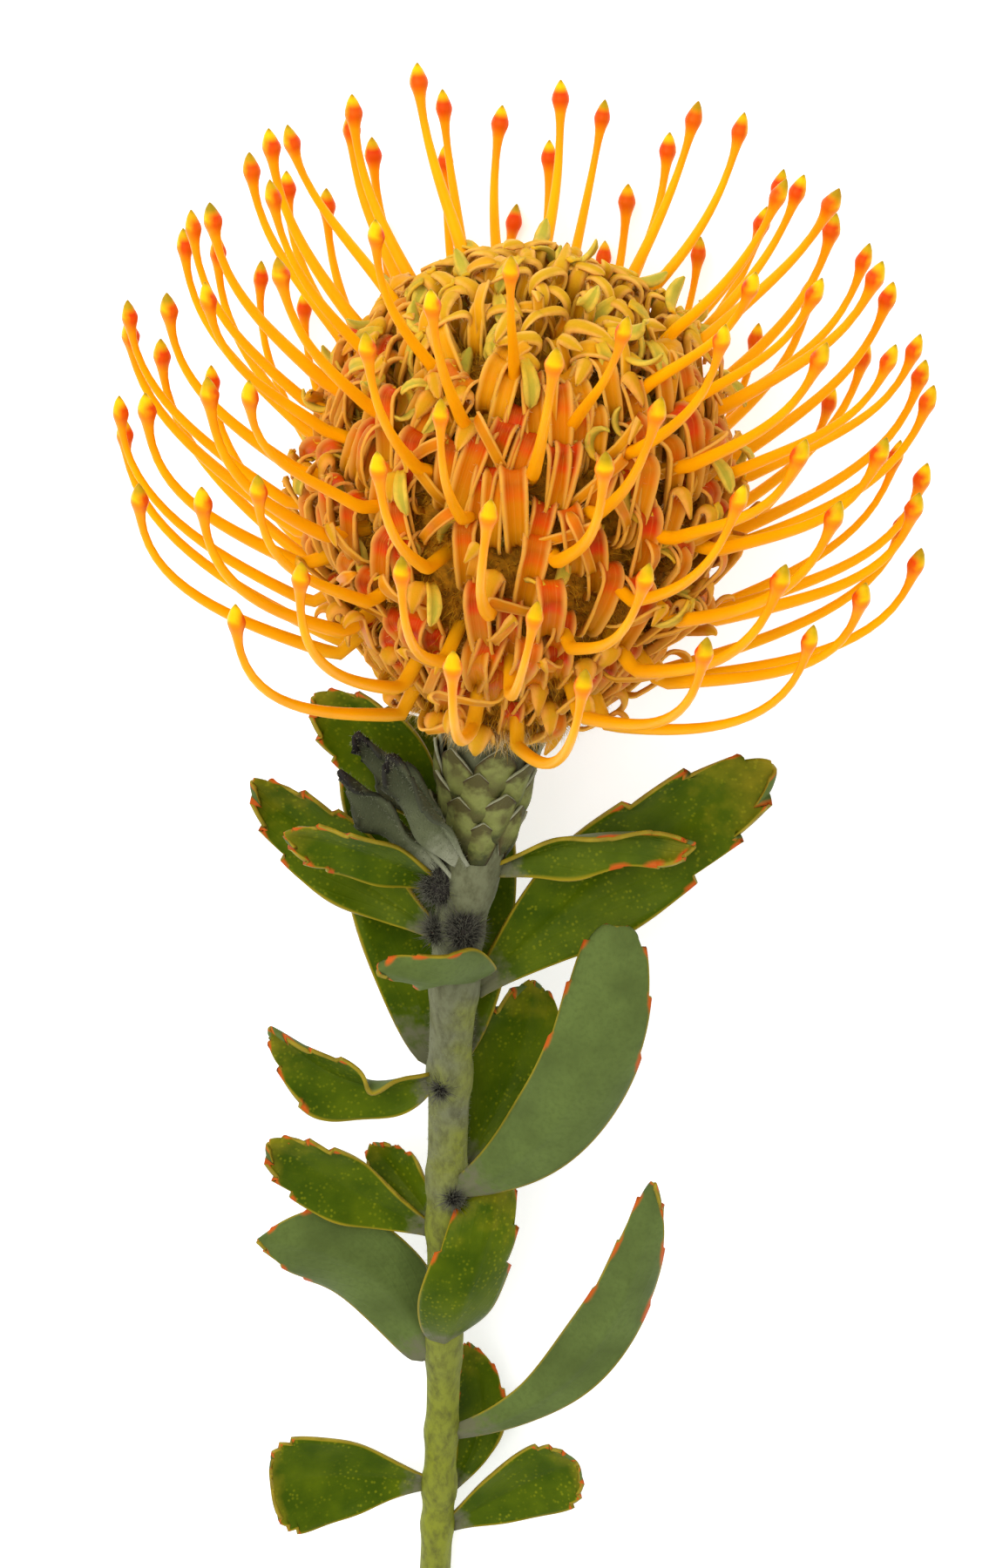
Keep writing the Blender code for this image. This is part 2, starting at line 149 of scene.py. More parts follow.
# The stem swells where each leaf leaves it: length, height, and most of all where leaves crowd
SWELL_LENGTH, SWELL_HEIGHT, SWELL_MOST = 2.2 * MM, 0.35 * MM, 0.45 * MM
SCALES, SCALE_LENGTH, SCALE_THICKNESS = 24, 9.4 * MM, 0.45 * MM
SCALE_FLARE, SCALE_KEEL, SCALE_LEAN = 0.9, 0.95, 0.16    # tip turned out, ridge (mm), slope
SCALE_PLACES = (-53.5, -40.0)               # first and last scale's middle on the axis, mm
SCALE_ROOTS = ((0.0, 4.6), (0.2, 5.5), (1.0, 6.3))    # from the first scale: off the axis, mm
SCALE_HALVES = ((0.0, 2.0), (0.2, 2.7), (0.45, 3.3), (0.65, 3.0), (0.85, 1.6), (0.96, 0.5),
                (1.0, 0.12))                # half widths along a scale, mm
BUD_RADIUS, BUD_WOOL = 1.25 * MM, 1.15 * MM    # a bud's radius, and where its wool is rooted
BUD_STRETCH = (1.0, 1.25, 1.0)
GROOVE_DEPTH, GROOVE_HALF = 0.28 * MM, 0.55 * MM    # of the midrib in the upper side
CALLUS_RADIUS = 0.62 * MM                   # orange knob at the tip of a leaf's tooth
SPECK_SPACING = 0.8 * MM                    # oil specks of a leaf
SUNK = 0.3 * MM                             # the foot of a leaf reaches this far into the stem
GAP = 0.35 * MM                             # between the stem's skin and a leaf, as in the solids

# Leaves: y where it leaves the stem, degrees round the stem (0 is +X, 90 is up), then middle and
# tip of the midrib (x and y from the head's centre, height), width, where along it is widest
# (0 to 1), the way its upper face looks, cup. Millimetres.
LEAVES = {
    "leaf_01": (-53, 185, (-19, -42, 33), (-29, -32, 34), 12, 0.64, (0, 0, 1), 0.15),
    "leaf_02": (-92, 245, (-13, -62, 21), (-18, -38, 22), 26, 0.64, (0, 0, 1), 0.12),
    "leaf_03": (-68, 185, (-25, -59, 28), (-38, -45, 32), 12, 0.64, (0, 0, 1), 0.15),
    "leaf_04": (-60.5, 175, (-22, -54, 40), (-33, -50, 42), 9, 0.6, (0, -1, 2), 0.25),
    "leaf_05": (-75, 20, (-9, -71, 41), (-20, -69, 45), 10.5, 0.5, (0, 2, -3), 0.25),
    "leaf_06": (-57, 10, (12, -54, 37), (25, -52, 40), 8, 0.5, (0, -1, 2), 0.35),
    "leaf_07": (-78, -5, (13, -60, 31), (36, -41, 38), 17, 0.6, (0, 0, 1), 0.15),
    "leaf_08": (-111, 62, (8, -93, 35), (14, -64, 40), 14, 0.6, (0, 0, -1), 0.2),
    "leaf_09": (-109, -30, (-1, -94, 19), (2, -79, 21), 15, 0.6, (0, 0, 1), 0.12),
    "leaf_10": (-92, 165, (-24, -91, 29), (-36, -82, 33), 11, 0.6, (0, -1, 2), 0.3),
    "leaf_11": (-119, 180, (-26, -112, 21), (-37, -103, 25), 11, 0.66, (0, 0, 1), 0.15),
    "leaf_12": (-117, 200, (-18, -113, 16), (-22, -107, 15), 8, 0.66, (0, 0, 1), 0.1),
    "leaf_13": (-142, 165, (-25, -128, 18), (-39, -119, 24), 14, 0.6, (0, 0, -1), 0.2),
    "leaf_14": (-138, 90, (-7, -125, 25), (-2, -109, 20), 13, 0.5, (-1, 0, -3), 0.2),
    "leaf_15": (-156, 15, (10, -139, 19), (20, -108, 28), 9.5, 0.6, (0, 0, -1), 0.15),
    "leaf_16": (-167, -30, (-6, -157, 5), (-8, -143, 7), 8, 0.64, (0, 0, 1), 0.1),
    "leaf_17": (-166, 175, (-27, -164, 11), (-38, -164, 14), 16, 0.82, (0, 0, 1), 0.15),
    "leaf_18": (-174, 0, (0, -167, 9), (9, -161, 12), 12, 0.78, (0, 0, 1), 0.15),
}
BRACT_LEAVES = {
    "bract_leaf_01": (-58, 143, (-18, -47, 41), (-25, -40, 44), 6, 0.5, (-1, -1, 2), 0.2),
    "bract_leaf_02": (-55, 112, (-14, -44, 46), (-18, -36, 50), 6, 0.5, (-1, -1, 2), 0.2),
    "bract_leaf_03": (-52, 150, (-17, -43, 38), (-23, -36, 40), 6, 0.5, (-1, 0, 2), 0.2),
}
# Woolly buds: y, degrees round the stem, size
BUDS = ((-59.0, 160.0, 2.1), (-66.0, 82.0, 1.7), (-67.0, 150.0, 0.9), (-93.0, 112.0, 0.6),
        (-112.0, 70.0, 0.7))

TEETH = np.radians((12.0, 38.0, 64.0, 90.0))           # round the end of a leaf, from its side
# Blade shape of single leaves: waves of the margin (mm), fold along the midrib, side bend (mm),
# how slowly it widens from its foot, how fast it narrows to its end
PLAIN_MANNER = (0.7, 0.1, 0.4, 1.4, 1.15)
MANNERS = {
    "bract_leaf_01": (1.5, 0.5, -1.2, 0.9, 1.2), "bract_leaf_02": (1.3, 0.7, 0.8, 0.8, 1.6),
    "bract_leaf_03": (1.4, 0.6, 0.6, 1.0, 1.1),
    "leaf_02": (1.4, 0.05, 0.0, 0.55, 1.1), "leaf_03": (0.8, 0.1, 0.0, 1.3, 1.3),
    "leaf_05": (0.9, 0.15, 1.4, 0.5, 1.6), "leaf_06": (1.0, 0.6, -2.4, 1.0, 1.3),
    "leaf_07": (1.0, 0.1, 0.0, 1.2, 0.9), "leaf_08": (0.9, 0.05, 0.5, 0.9, 0.6),
    "leaf_10": (1.0, 0.3, -2.0, 0.7, 1.3), "leaf_11": (0.8, 0.1, 0.0, 1.3, 1.0),
    "leaf_13": (0.9, 0.15, -2.6, 0.45, 1.8), "leaf_14": (0.6, 0.1, 0.5, 0.6, 1.0),
    "leaf_15": (1.0, 0.2, -1.0, 1.2, 1.2), "leaf_17": (0.5, 0.05, 0.0, 1.2, 0.35),
    "leaf_18": (0.6, 0.1, 0.0, 1.2, 0.8),
}
SHADE_PAINTED_BACKS = ("leaf_14",)                  # painted shade: these leaves' undersides, which lie in shadow, are as dark green and specked as their fronts
FAINT_TEETH = ("leaf_05", "leaf_06", "leaf_08", "leaf_13", "leaf_15")
FAINT = 0.35                                # their teeth, as a part of the usual depth
NIBBLED = "leaf_10"                         # this leaf lacks a bite of one side, at these rows
BITE_ROW, BITE_ROWS, BITE_DEPTH = 21, 3.5, 0.55
LOWER_ROWS, CAP_ROWS, LEAF_COLUMNS = 30, 30, 16
CAP_TURN = math.radians(85.0)               # how far round its end a blade is drawn
END_TURN = 1.2                              # from here round, the end is nearer than the sides

# Stage, in metres from the head's centre
FLOOR_HALF = 6.0
LAMP_SIDE, LAMP_PLACE = 0.9, (-0.35, 0.35, 0.85)
AIM = (-0.00280, -0.03793, 0.00994)         # the middle of the view


# ---------------------------------------------------------------- settings

def linear(code):
    """Linear red, green and blue of an sRGB hex colour."""
    parts = [int(code[k:k + 2], 16) / 255 for k in (0, 2, 4)]
    return tuple(c / 12.92 if c <= 0.04045 else ((c + 0.055) / 1.055) ** 2.4 for c in parts)


def length(name, description, millimetres):
    """A length setting, given in millimetres and kept in metres."""
    return FloatProperty(name=name, description=description, default=millimetres * MM,
                         min=0.0, unit="LENGTH", subtype="DISTANCE", precision=5)


def angle(name, description, degrees):
    """An angle setting, given in degrees."""
    return FloatProperty(name=name, description=description, default=math.radians(degrees),
                         unit="ROTATION", subtype="ANGLE")


def colour(name, description, code):
    """A colour setting, given as an sRGB hex colour."""
    return FloatVectorProperty(name=name, description=description, default=linear(code),
                               min=0.0, max=1.0, size=3, subtype="COLOR")


HEAD_LOW, HEAD_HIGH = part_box("flower_head")
HEAD_CENTRE = Vector(((HEAD_LOW.x + HEAD_HIGH.x) / 2 - 0.91 * MM, HEAD_HIGH.y - 56.93 * MM,
                      HEAD_LOW.z + 47.5 * MM))


class ProteaHead(bpy.types.PropertyGroup):
    """Place, sizes and colours of the flower head"""

    centre: FloatVectorProperty(name="Centre", description="Centre of the dome of florets",
                                default=HEAD_CENTRE, subtype="TRANSLATION", unit="LENGTH")
    rise: angle("Rise", "Head's axis above the floor", 13.2)
    lean: angle("Lean", "Head's axis turned from the stem's direction towards +X", 6.5)
    dome_across: length("Dome Radius", "Dome of curled perianths, across the axis", 31.0)
    dome_along: length("Dome Height", "Dome of curled perianths, along the axis", 35.6)
    core_across: length("Core Radius", "Receptacle under the florets, across the axis", 25.0)
    core_along: length("Core Height", "Receptacle under the florets, along the axis", 29.4)
    florets: IntProperty(name="Florets", description="Number of florets", default=132, min=1)
    style_reach: length("Style Reach", "From the dome's centre to the tip of a style", 59.5)
    strap_half: length("Strap Half Width", "Half of a perianth strap's width, laid flat", 1.9)
    strap_thick: length("Strap Thickness", "Thickness of a perianth strap at its edge", 0.45)
    claw_half: length("Claw Half Width", "Half of the narrow free claw's width", 0.75)
    style_colour: colour("Style", "Waxy filament along most of its length", "FAAC02")
    style_neck: colour("Style Neck", "Filament just under the pollen presenter", "F79A06")
    style_root: colour("Style Root", "Filament where it leaves the dome", "E0A010")
    presenter: colour("Presenter", "Cone at the style's tip", "F7C70C")
    presenter_red: colour("Presenter Blush", "Inner side of the style's tip", "DD3A0C")
    presenter_point: colour("Presenter Point", "The very tip, dried", "8F7A14")
    strap_red: colour("Strap Throat", "Inside of an old strap, at its bend", "D43806")
    strap_orange: colour("Strap Inside", "Inside of an old strap, below its bend", "CC6A00")
    strap_base: colour("Strap Base", "Inside of a strap at its root", "BE7A04")
    strap_young: colour("Young Strap", "Inside of a strap near the apex", "E09E0C")
    strap_outside: colour("Strap Outside", "Hairy outside of a strap", "DEA81C")
    strap_margin: colour("Strap Margin", "Thick downy edge of a strap", "ECB250")
    lobe_green: colour("Lobe", "Limb at the end of a strap", "BEB03A")
    lobe_edge: colour("Lobe Edge", "Pale edge of a limb", "DDBA44")
    wool: colour("Wool", "Hairs on the florets and under the head", "DCC28C")
    core_colour: colour("Receptacle", "Receptacle between the florets", "C88810")


class ProteaStem(bpy.types.PropertyGroup):
    """Colours of the stem and its involucre"""

    low: colour("Lower Stem", "Stem near its cut end", "7E8420")
    high: colour("Upper Stem", "Downy stem under the flower head", "6C6E50")
    speck: colour("Specks", "Brownish specks of the bark", "3E3C20")
    cut: colour("Cut End", "Fresh cut through the stem", "D5DDA8")
    pith: colour("Pith", "Middle of the cut end", "F0EFD2")
    down: colour("Down", "Short hairs of the upper stem", "9FA086")
    scale: colour("Scales", "Scales of the involucre", "6E7238")
    # painted highlight: the paler outer half of each scale, where it bulges into the light
    scale_highlight: colour("Scale Light", "Paler outer half of a scale", "858A4A")
    scale_tip: colour("Scale Tips", "Dried tips of the scales", "40301C")
    tuft: colour("Tufts", "Dark wool of the buds in the leaf axils", "38332E")


class ProteaLeaves(bpy.types.PropertyGroup):
    """Sizes and colours of the leaves"""

    thickness: length("Thickness", "Thickness of a blade", 0.6)
    foot_half: length("Foot Half Width", "Half width of a leaf where it meets the stem", 1.2)
    tooth: FloatProperty(name="Tooth", description="Depth of the teeth as a part of the half width",
                         default=0.15, min=0.0, max=0.5)
    upper: colour("Upper Side", "Upper side of a leaf", "4C5C02")
    upper_deep: colour("Upper Side, Dark", "Darker patches of the upper side", "344800")
    speck: colour("Specks", "Pale oil specks of the upper side", "8C8E14")
    under: colour("Underside", "Underside of a leaf", "5A6A34")
    margin: colour("Margin", "Thin coloured edge of a leaf", "9A861C")
    callus: colour("Tooth Tips", "Callus at the tip of each tooth", "BC551A")
    foot: colour("Foot", "Downy foot of a leaf", "626249")
    bract: colour("Bract Leaves", "Small downy leaves under the head", "636848")


class ProteaStage(bpy.types.PropertyGroup):
    """Floor, light and camera"""

    floor: colour("Floor", "Plain floor", "FCFCFC")
    glow: FloatProperty(name="Glow", description="Light of the floor itself, which pales shadows",
                        default=0.38, min=0.0)
    sky: FloatProperty(name="Sky", description="Strength of the even light from all round",
                       default=0.9, min=0.0)
    key: FloatProperty(name="Key", description="Power of the large soft light", default=7.0,
                       min=0.0, unit="POWER")
    distance: length("Camera Distance", "From the head's centre to the camera", 600.0)
    tilt: angle("Camera Tilt", "Line from the head to the camera, above the floor", 77.2)
    lens: FloatProperty(name="Lens", description="Focal length in millimetres", default=100.84)


# ---------------------------------------------------------------- shapes

def unit(vectors):
    """The same directions with length 1."""
    return vectors / np.linalg.norm(vectors, axis=-1, keepdims=True)


def lerp(low, high, share):
    """Value at a share of the way from low to high."""
    return low + (high - low) * share


def smooth(share):
    """0 to 1 with a soft start and end."""
    share = np.clip(share, 0.0, 1.0)
    return share * share * (3.0 - 2.0 * share)


def profile(table, place):
    """Size at a place, from a table of places and sizes."""
    return np.interp(place, *zip(*table))


def strip(columns, rows):
    """A flat strip from 0 to 1 each way, with its UVs: U across it and V along it."""
    bm = bmesh.new()
    bm.loops.layers.uv.new("UVMap")
    bmesh.ops.create_grid(bm, x_segments=columns, y_segments=rows, size=0.5, calc_uvs=True)
    bmesh.ops.translate(bm, vec=(0.5, 0.5, 0.0), verts=bm.verts)
    return bm


def tube(sides, rings):
    """A closed tube of radius 1 along Z from 0 to 1, with its UVs: U round it and V along it."""
    bm = strip(sides, rings)
    for vert in bm.verts:
        turn = 2.0 * math.pi * vert.co.x
        vert.co = (math.cos(turn), math.sin(turn), vert.co.y)
    bmesh.ops.remove_doubles(bm, verts=bm.verts, dist=0.0001)
    bmesh.ops.holes_fill(bm, edges=[e for e in bm.edges if e.is_boundary], sides=0)
    bmesh.ops.recalc_face_normals(bm, faces=bm.faces)
    return bm


def spike(bends):
    """A hair: a three-sided cone along Z from 0 to 1, cut across so that it can bend."""
    bm = bmesh.new()
    bmesh.ops.create_cone(bm, segments=3, radius1=1.0, radius2=0.0, depth=1.0, cap_ends=True)
    bmesh.ops.translate(bm, vec=(0.0, 0.0, 0.5), verts=bm.verts)
    if bends:
        long_edges = [e for e in bm.edges if abs(e.verts[0].co.z - e.verts[1].co.z) > 0.5]
        bmesh.ops.subdivide_edges(bm, edges=long_edges, cuts=bends)
    return bm


def to_mesh(name, bm):
    """Turn a bmesh into a mesh."""
    mesh = bpy.data.meshes.new(name)
    bm.to_mesh(mesh)
    bm.free()
    return mesh


def points(verts):
    """Places of the vertices of a mesh or bmesh."""
    return np.array([vert.co[:] for vert in verts])


def repeated(name, template, count):
    """A mesh of many copies of a template, and the template's own points."""
    single = to_mesh(name, template)
    bm = bmesh.new()
    for _ in range(count):
        bm.from_mesh(single)
    mesh, coords = to_mesh(name, bm), points(single.vertices)
    bpy.data.meshes.remove(single)
    return mesh, coords


def strips(name, columns, rings, count):
    """Mesh of many strips; the template's points, their rings, and their u across, -1 to 1."""
    mesh, coords = repeated(name, strip(columns, rings), count)
    return mesh, coords, np.rint(coords[:, 1] * rings).astype(int), 2.0 * coords[:, 0] - 1.0


def shade_smooth(mesh):
    """Shade a whole mesh smooth."""
    mesh.polygons.foreach_set("use_smooth", np.ones(len(mesh.polygons), dtype=bool))


def mesh_of(name, bm, places):
    """Make a mesh of a bmesh whose vertices go to their places, facing out and shaded smooth."""
    for vert, place in zip(bm.verts, places):
        vert.co = place
    bmesh.ops.recalc_face_normals(bm, faces=bm.faces)
    mesh = to_mesh(name, bm)
    shade_smooth(mesh)
    return mesh


def settle(mesh, places, thickness=0.0):
    """Put the copies' vertices in place, clear of the floor, and shade them smooth."""
    places = np.array(places)
    places[..., 2] = np.maximum(places[..., 2], 0.6 * thickness)
    mesh.vertices.foreach_set("co", np.ascontiguousarray(places, dtype=np.float32).ravel())
    shade_smooth(mesh)
    mesh.update()
    return places


def mark(mesh, name, values):
    """Keep a number at each vertex, or one for each copy, for the materials to read."""
    layer = mesh.attributes.new(name, "FLOAT", "POINT")
    each = np.repeat(np.ravel(values), len(mesh.vertices) // np.size(values))
    layer.data.foreach_set("value", each.astype(np.float32))


def framed(paths, across):
    """Directions along, across and upright at each point of each path."""
    along = unit(np.gradient(paths, axis=-2))
    level = across[:, None, :]
    wide = unit(level - along * (level * along).sum(-1, keepdims=True))
    return along, wide, np.cross(along, wide)


def turned(wide, deep, twist):
    """The directions across and upright of a path, turned about it."""
    cos, sin = np.cos(twist)[..., None], np.sin(twist)[..., None]
    return wide * cos + deep * sin, deep * cos - wide * sin


def swept(paths, across, ring, x, y, twist=0.0):
    """Places x across and y upright of the paths; ring is the point of its path for each."""
    _, wide, deep = framed(paths, across)
    wide, deep = turned(wide, deep, twist)
    return paths[:, ring] + wide[:, ring] * x[..., None] + deep[:, ring] * y[..., None]


def summed(steps):
    """Running sums along rows, from 0."""
    return np.concatenate([np.zeros((*steps.shape[:-1], 1)), np.cumsum(steps, -1)], -1)


def walk(line):
    """How far along a line each of its points is."""
    return summed(np.linalg.norm(np.diff(line, axis=0), axis=1))


def arcs(heading, pieces, rings):
    """Flat paths of arcs one after another, cut into rings that lie closest where they bend.

    heading is the start direction of each path, from straight up towards its advance; pieces are
    pairs of length and turn. Gives distance, height and advance at each ring.
    """
    share = (np.arange(ARC_STEPS) + 0.5) / ARC_STEPS
    step_length = [np.repeat(long[:, None] / ARC_STEPS, ARC_STEPS, 1) for long, _ in pieces]
    turned = heading[:, None]
    headings = []
    for _, turn in pieces:
        headings.append(turned + turn[:, None] * share)
        turned = turned + turn[:, None]
    step_length = np.concatenate(step_length, 1)
    headings = np.concatenate(headings, 1)
    rows = [summed(step_length * way) for way in (1.0, np.cos(headings), np.sin(headings))]
    turning = np.abs(np.diff(headings, axis=1, prepend=headings[:, :1]))
    weight = summed(step_length / STRAIGHT_STEP + turning)
    wanted = np.linspace(0.0, 1.0, rings)
    return [np.array([np.interp(wanted * w[-1], w, row) for w, row in zip(weight, kind)])
            for kind in rows]


def placed(name, data):
    """An object in the scene, of a mesh, a lamp or a camera."""
    made = bpy.data.objects.new(name, data)
    bpy.context.scene.collection.objects.link(made)
    return made


def piece(name, mesh, materials, slot, *nodes):
    """Make a finished object of a mesh: it rides on the root body and stands for CAD nodes."""
    made = placed(name, mesh)
    for finish in materials:
        mesh.materials.append(finish)
    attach(made, "root")
    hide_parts(*nodes)
    return made


def grow(name, roots, tips, radius, finish, slot, *nodes, droop=0.0, bends=0):
    """A piece of hairs from roots to tips; droop is how far the middle of each is bent aside."""
    mesh, coords = repeated(name, spike(bends), len(roots))
    reach = tips - roots
    side = unit(np.cross(reach, ASKEW))
    deep = unit(np.cross(reach, side))
    share = coords[:, 2]
    sag = np.broadcast_to(droop, roots.shape)[:, None]
    places = (roots[:, None] + reach[:, None] * share[:, None]
              + sag * (share * (1.0 - share) * 4.0)[:, None]
              + (side[:, None] * coords[:, 0, None] + deep[:, None] * coords[:, 1, None]) * radius)
    settle(mesh, places)
    mark(mesh, "share", np.tile(share, len(roots)))
    piece(name, mesh, [finish], slot, *nodes)


def thicken(made, thickness, group=None):
    """Give a sheet its thickness; its back takes the second material and its rim the third."""
    solid = made.modifiers.new("thickness", "SOLIDIFY")
    solid.thickness = thickness
    solid.offset = 0.0
    solid.material_offset = 1
    solid.material_offset_rim = 2
    if group:
        solid.vertex_group = group
        solid.thickness_vertex_group = 0.6


# ---------------------------------------------------------------- materials

def rgba(shade):
    """A colour, or a grey from 0 to 1, with full alpha."""
    return (*shade, 1.0) if hasattr(shade, "__len__") else (shade, shade, shade, 1.0)


def dimmed(shade, share):
    """A colour made darker."""
    return tuple(c * share for c in shade)


def lerp_colour(low, high, share):
    """Colour at a share of the way between two."""
    return tuple(lerp(a, b, share) for a, b in zip(low, high))


def plug(tree, made, inputs):
    """Give a node's sockets their links or values; a name stands for the mesh's own attribute."""
    for name, value in inputs.items():
        socket = made.inputs[name]
        if isinstance(value, str):
            value = node(tree, "Attribute", out="Fac", attribute_name=value)
        if isinstance(value, bpy.types.NodeSocket):
            tree.links.new(value, socket)
        else:
            socket.default_value = rgba(value) if socket.type == "RGBA" else value


def node(tree, kind, inputs=None, stops=(), out=0, **settings):
    """Add a node with its settings, sockets and a ramp's stops, and give one of its outputs."""
    made = tree.nodes.new("ShaderNode" + kind)
    for name, value in settings.items():
        setattr(made, name, value)
    plug(tree, made, inputs or {})
    if stops:
        ramp = made.color_ramp
        while len(ramp.elements) < len(stops):
            ramp.elements.new(0.5)
        for element, (place, shade) in zip(ramp.elements, stops):
            element.position = place
            element.color = rgba(shade)
    return made.outputs[out]


def finish_named(name, roughness, **constants):
    """A Principled material with its constants on the shader's own sockets."""
    made = bpy.data.materials.new(name)
    made.use_nodes = True
    tree = made.node_tree
    shader = tree.nodes["Principled BSDF"]
    plug(tree, shader, {"Roughness": roughness, "Specular IOR Level": MATT_LEVEL})
    plug(tree, shader, {label.replace("_", " "): value for label, value in constants.items()})
    return made, tree


def covered(made, colour, bump=None):
    """Give a material its colour and its bump."""
    tree = made.node_tree
    plug(tree, tree.nodes["Principled BSDF"],
         {"Base Color": colour, "Normal": bump} if bump else {"Base Color": colour})
    return made


def coordinates(tree):
    """Object coordinates, and a strip's own shares across it and along it."""
    across = node(tree, "SeparateXYZ", {0: node(tree, "UVMap", uv_map="UVMap")})
    return node(tree, "TexCoord", out="Object"), across, across.node.outputs["Y"]


def sized(spot, millimetres, detail=3.0, roughness=0.5):
    """Sockets of a noise whose features are about so many millimetres across."""
    return {"Vector": spot, "Scale": 1.0 / (millimetres * MM), "Detail": detail,
            "Roughness": roughness}


def patches(tree, spot, millimetres, low, high, most=1.0, detail=3.0, roughness=0.5):
    """Cover of uneven patches: a noise of so many millimetres, from 0 at low to most at high."""
    cloud = node(tree, "TexNoise", sized(spot, millimetres, detail, roughness))
    return node(tree, "MapRange", {"Value": cloud, "From Min": low, "From Max": high,
                                   "To Max": most})


def grained(tree, spot, millimetres, strength, depth, detail=4.0):
    """Bump of a fine grain, whose size and depth are in millimetres."""
    grain = node(tree, "TexNoise", sized(spot, millimetres, detail))
    return node(tree, "Bump", {"Height": grain, "Strength": strength, "Distance": depth * MM})


def coated(tree, skin, *coats):
    """Lay coats over a skin in turn; each is how far it covers, and its colour."""
    for cover, shade in coats:
        skin = node(tree, "Mix", {0: cover, MIX_A: skin, MIX_B: shade}, out=MIX_OUT,
                    data_type="RGBA")
    return skin


def waxy_style(head):
    """Living filament: a smooth waxy skin that glows a little, with a blushed, pointed tip."""
    made, tree = finish_named(
        "waxy_style", 0.36, Subsurface_Weight=0.12, Subsurface_Scale=1.5 * MM,
        Subsurface_Radius=(1.0, 0.5, 0.15), Specular_Tint=GOLDEN_SHINE)
    spot = node(tree, "TexCoord", out="Object")
    along = node(tree, "MapRange", {"Value": "from_tip", "From Max": 50.0 * MM})
    body = node(tree, "ValToRGB", {"Fac": along}, stops=(
        (0.0, head.presenter_point), (0.01, head.presenter), (0.044, head.presenter),
        (0.062, head.style_neck), (0.13, head.style_neck), (0.22, head.style_colour),
        (0.72, head.style_colour), (0.95, head.style_root)))
    cone = node(tree, "MapRange", {"Value": along, "From Min": 0.016, "From Max": 0.042,
                                   "To Min": 1.0, "To Max": 0.0})
    dried = node(tree, "Math", {0: cone, 1: "age"}, operation="MULTIPLY")
    band = node(tree, "ValToRGB", {"Fac": along}, stops=(
        (0.017, 0), (0.034, 1), (0.058, 0.9), (0.094, 0)))
    uneven = node(tree, "Math", {0: "inner_side", 1: node(tree, "TexNoise", sized(spot, 1.2))},
                  operation="ADD")
    facing = node(tree, "MapRange", {"Value": uneven, "From Min": -0.35, "From Max": 0.75})
    blush = node(tree, "Math", {0: band, 1: facing}, operation="MULTIPLY")
    ring = node(tree, "ValToRGB", {"Fac": along}, stops=(
        (0.038, 0), (0.05, 0.5), (0.062, 0.4), (0.085, 0)))
    blush = node(tree, "Math", {0: blush, 1: ring}, operation="MAXIMUM")
    skin = coated(tree, body, (dried, head.presenter_point), (blush, head.presenter_red),
                  (patches(tree, spot, 7.0, 0.35, 0.8, 0.35), dimmed(head.style_neck, 0.75)))
    return covered(made, skin, grained(tree, spot, 0.5, 0.06, 0.1, 3.0))


def strap_inside(head):
    """Inner face of a perianth: glossy living skin, red at the bend and orange below it, with
    painted shade, a darker red, just past the bend in the throat of its roll.
    """
    made, tree = finish_named(
        "perianth_inner_skin", 0.38, Subsurface_Weight=0.1, Subsurface_Scale=1.0 * MM,
        Subsurface_Radius=(1.0, 0.35, 0.1), Specular_Tint=GOLDEN_SHINE)
    spot, across, _ = coordinates(tree)
    root = dimmed(head.strap_base, 0.85)
    young = node(tree, "ValToRGB", {"Fac": "to_bend"}, stops=(
        (0.0, root), (0.12, head.strap_base), (0.35, head.strap_young),
        (0.75, head.strap_young), (1.0, head.lobe_green)))
    # the darker red stop just past the bend (0.53) is painted shade in the throat of the roll
    old = node(tree, "ValToRGB", {"Fac": "to_bend"}, stops=(
        (0.0, root), (0.22, head.strap_base), (0.36, head.strap_orange),
        (0.41, head.strap_orange), (0.46, head.strap_red), (0.53, dimmed(head.strap_red, 0.6)),
        (0.65, head.strap_red), (0.85, head.strap_young), (1.0, head.lobe_green)))
    stretched = node(tree, "Mapping", {"Vector": node(tree, "UVMap", uv_map="UVMap"),
                                       "Scale": (9.0, 0.8, 1.0)})
    streak = node(tree, "TexNoise", {"Vector": stretched, "Scale": 2.0, "Detail": 3.0})
    pale = node(tree, "MapRange", {"Value": streak, "From Min": 0.52, "From Max": 0.8,
                                   "To Max": 0.3})
    rim = node(tree, "ValToRGB", {"Fac": across}, stops=(
        (0.0, 0.7), (0.11, 0.25), (0.2, 0), (0.8, 0), (0.89, 0.25), (1.0, 0.7)))
    skin = coated(tree, young, ("ripe", old), (pale, head.strap_margin),
                  (patches(tree, spot, 3.0, 0.4, 0.75, 0.4), head.strap_base),
                  (rim, head.strap_margin))
    ribs = node(tree, "Bump", {"Height": streak, "Strength": 0.25, "Distance": 0.2 * MM})
    return covered(made, skin, ribs)


def downy(name, main, edge, under, ripened, roughness=0.75):
    """A downy living surface: matt from fine hairs, paler at its edges, warmer where ripe."""
    made, tree = finish_named(name, roughness, Subsurface_Weight=0.08,
                                      Subsurface_Scale=0.8 * MM, Specular_Tint=GOLDEN_SHINE)
    spot, across, along = coordinates(tree)
    middle = dimmed(main, 0.85)
    edges = node(tree, "ValToRGB", {"Fac": across}, stops=(
        (0.15, edge), (0.36, middle), (0.64, middle), (0.85, edge)))
    rooted = node(tree, "ValToRGB", {"Fac": along}, stops=((0.0, 1), (0.35, 0.25), (0.6, 0)))
    blushed = node(tree, "Math", {0: "ripe", 1: 0.42}, operation="MULTIPLY")
    skin = coated(tree, edges, (blushed, ripened), (rooted, under),
                  (patches(tree, spot, 1.6, 0.42, 0.68, 0.6, 4.0), dimmed(main, 0.72)))
    return covered(made, skin, grained(tree, spot, 0.25, 0.4, 0.15))


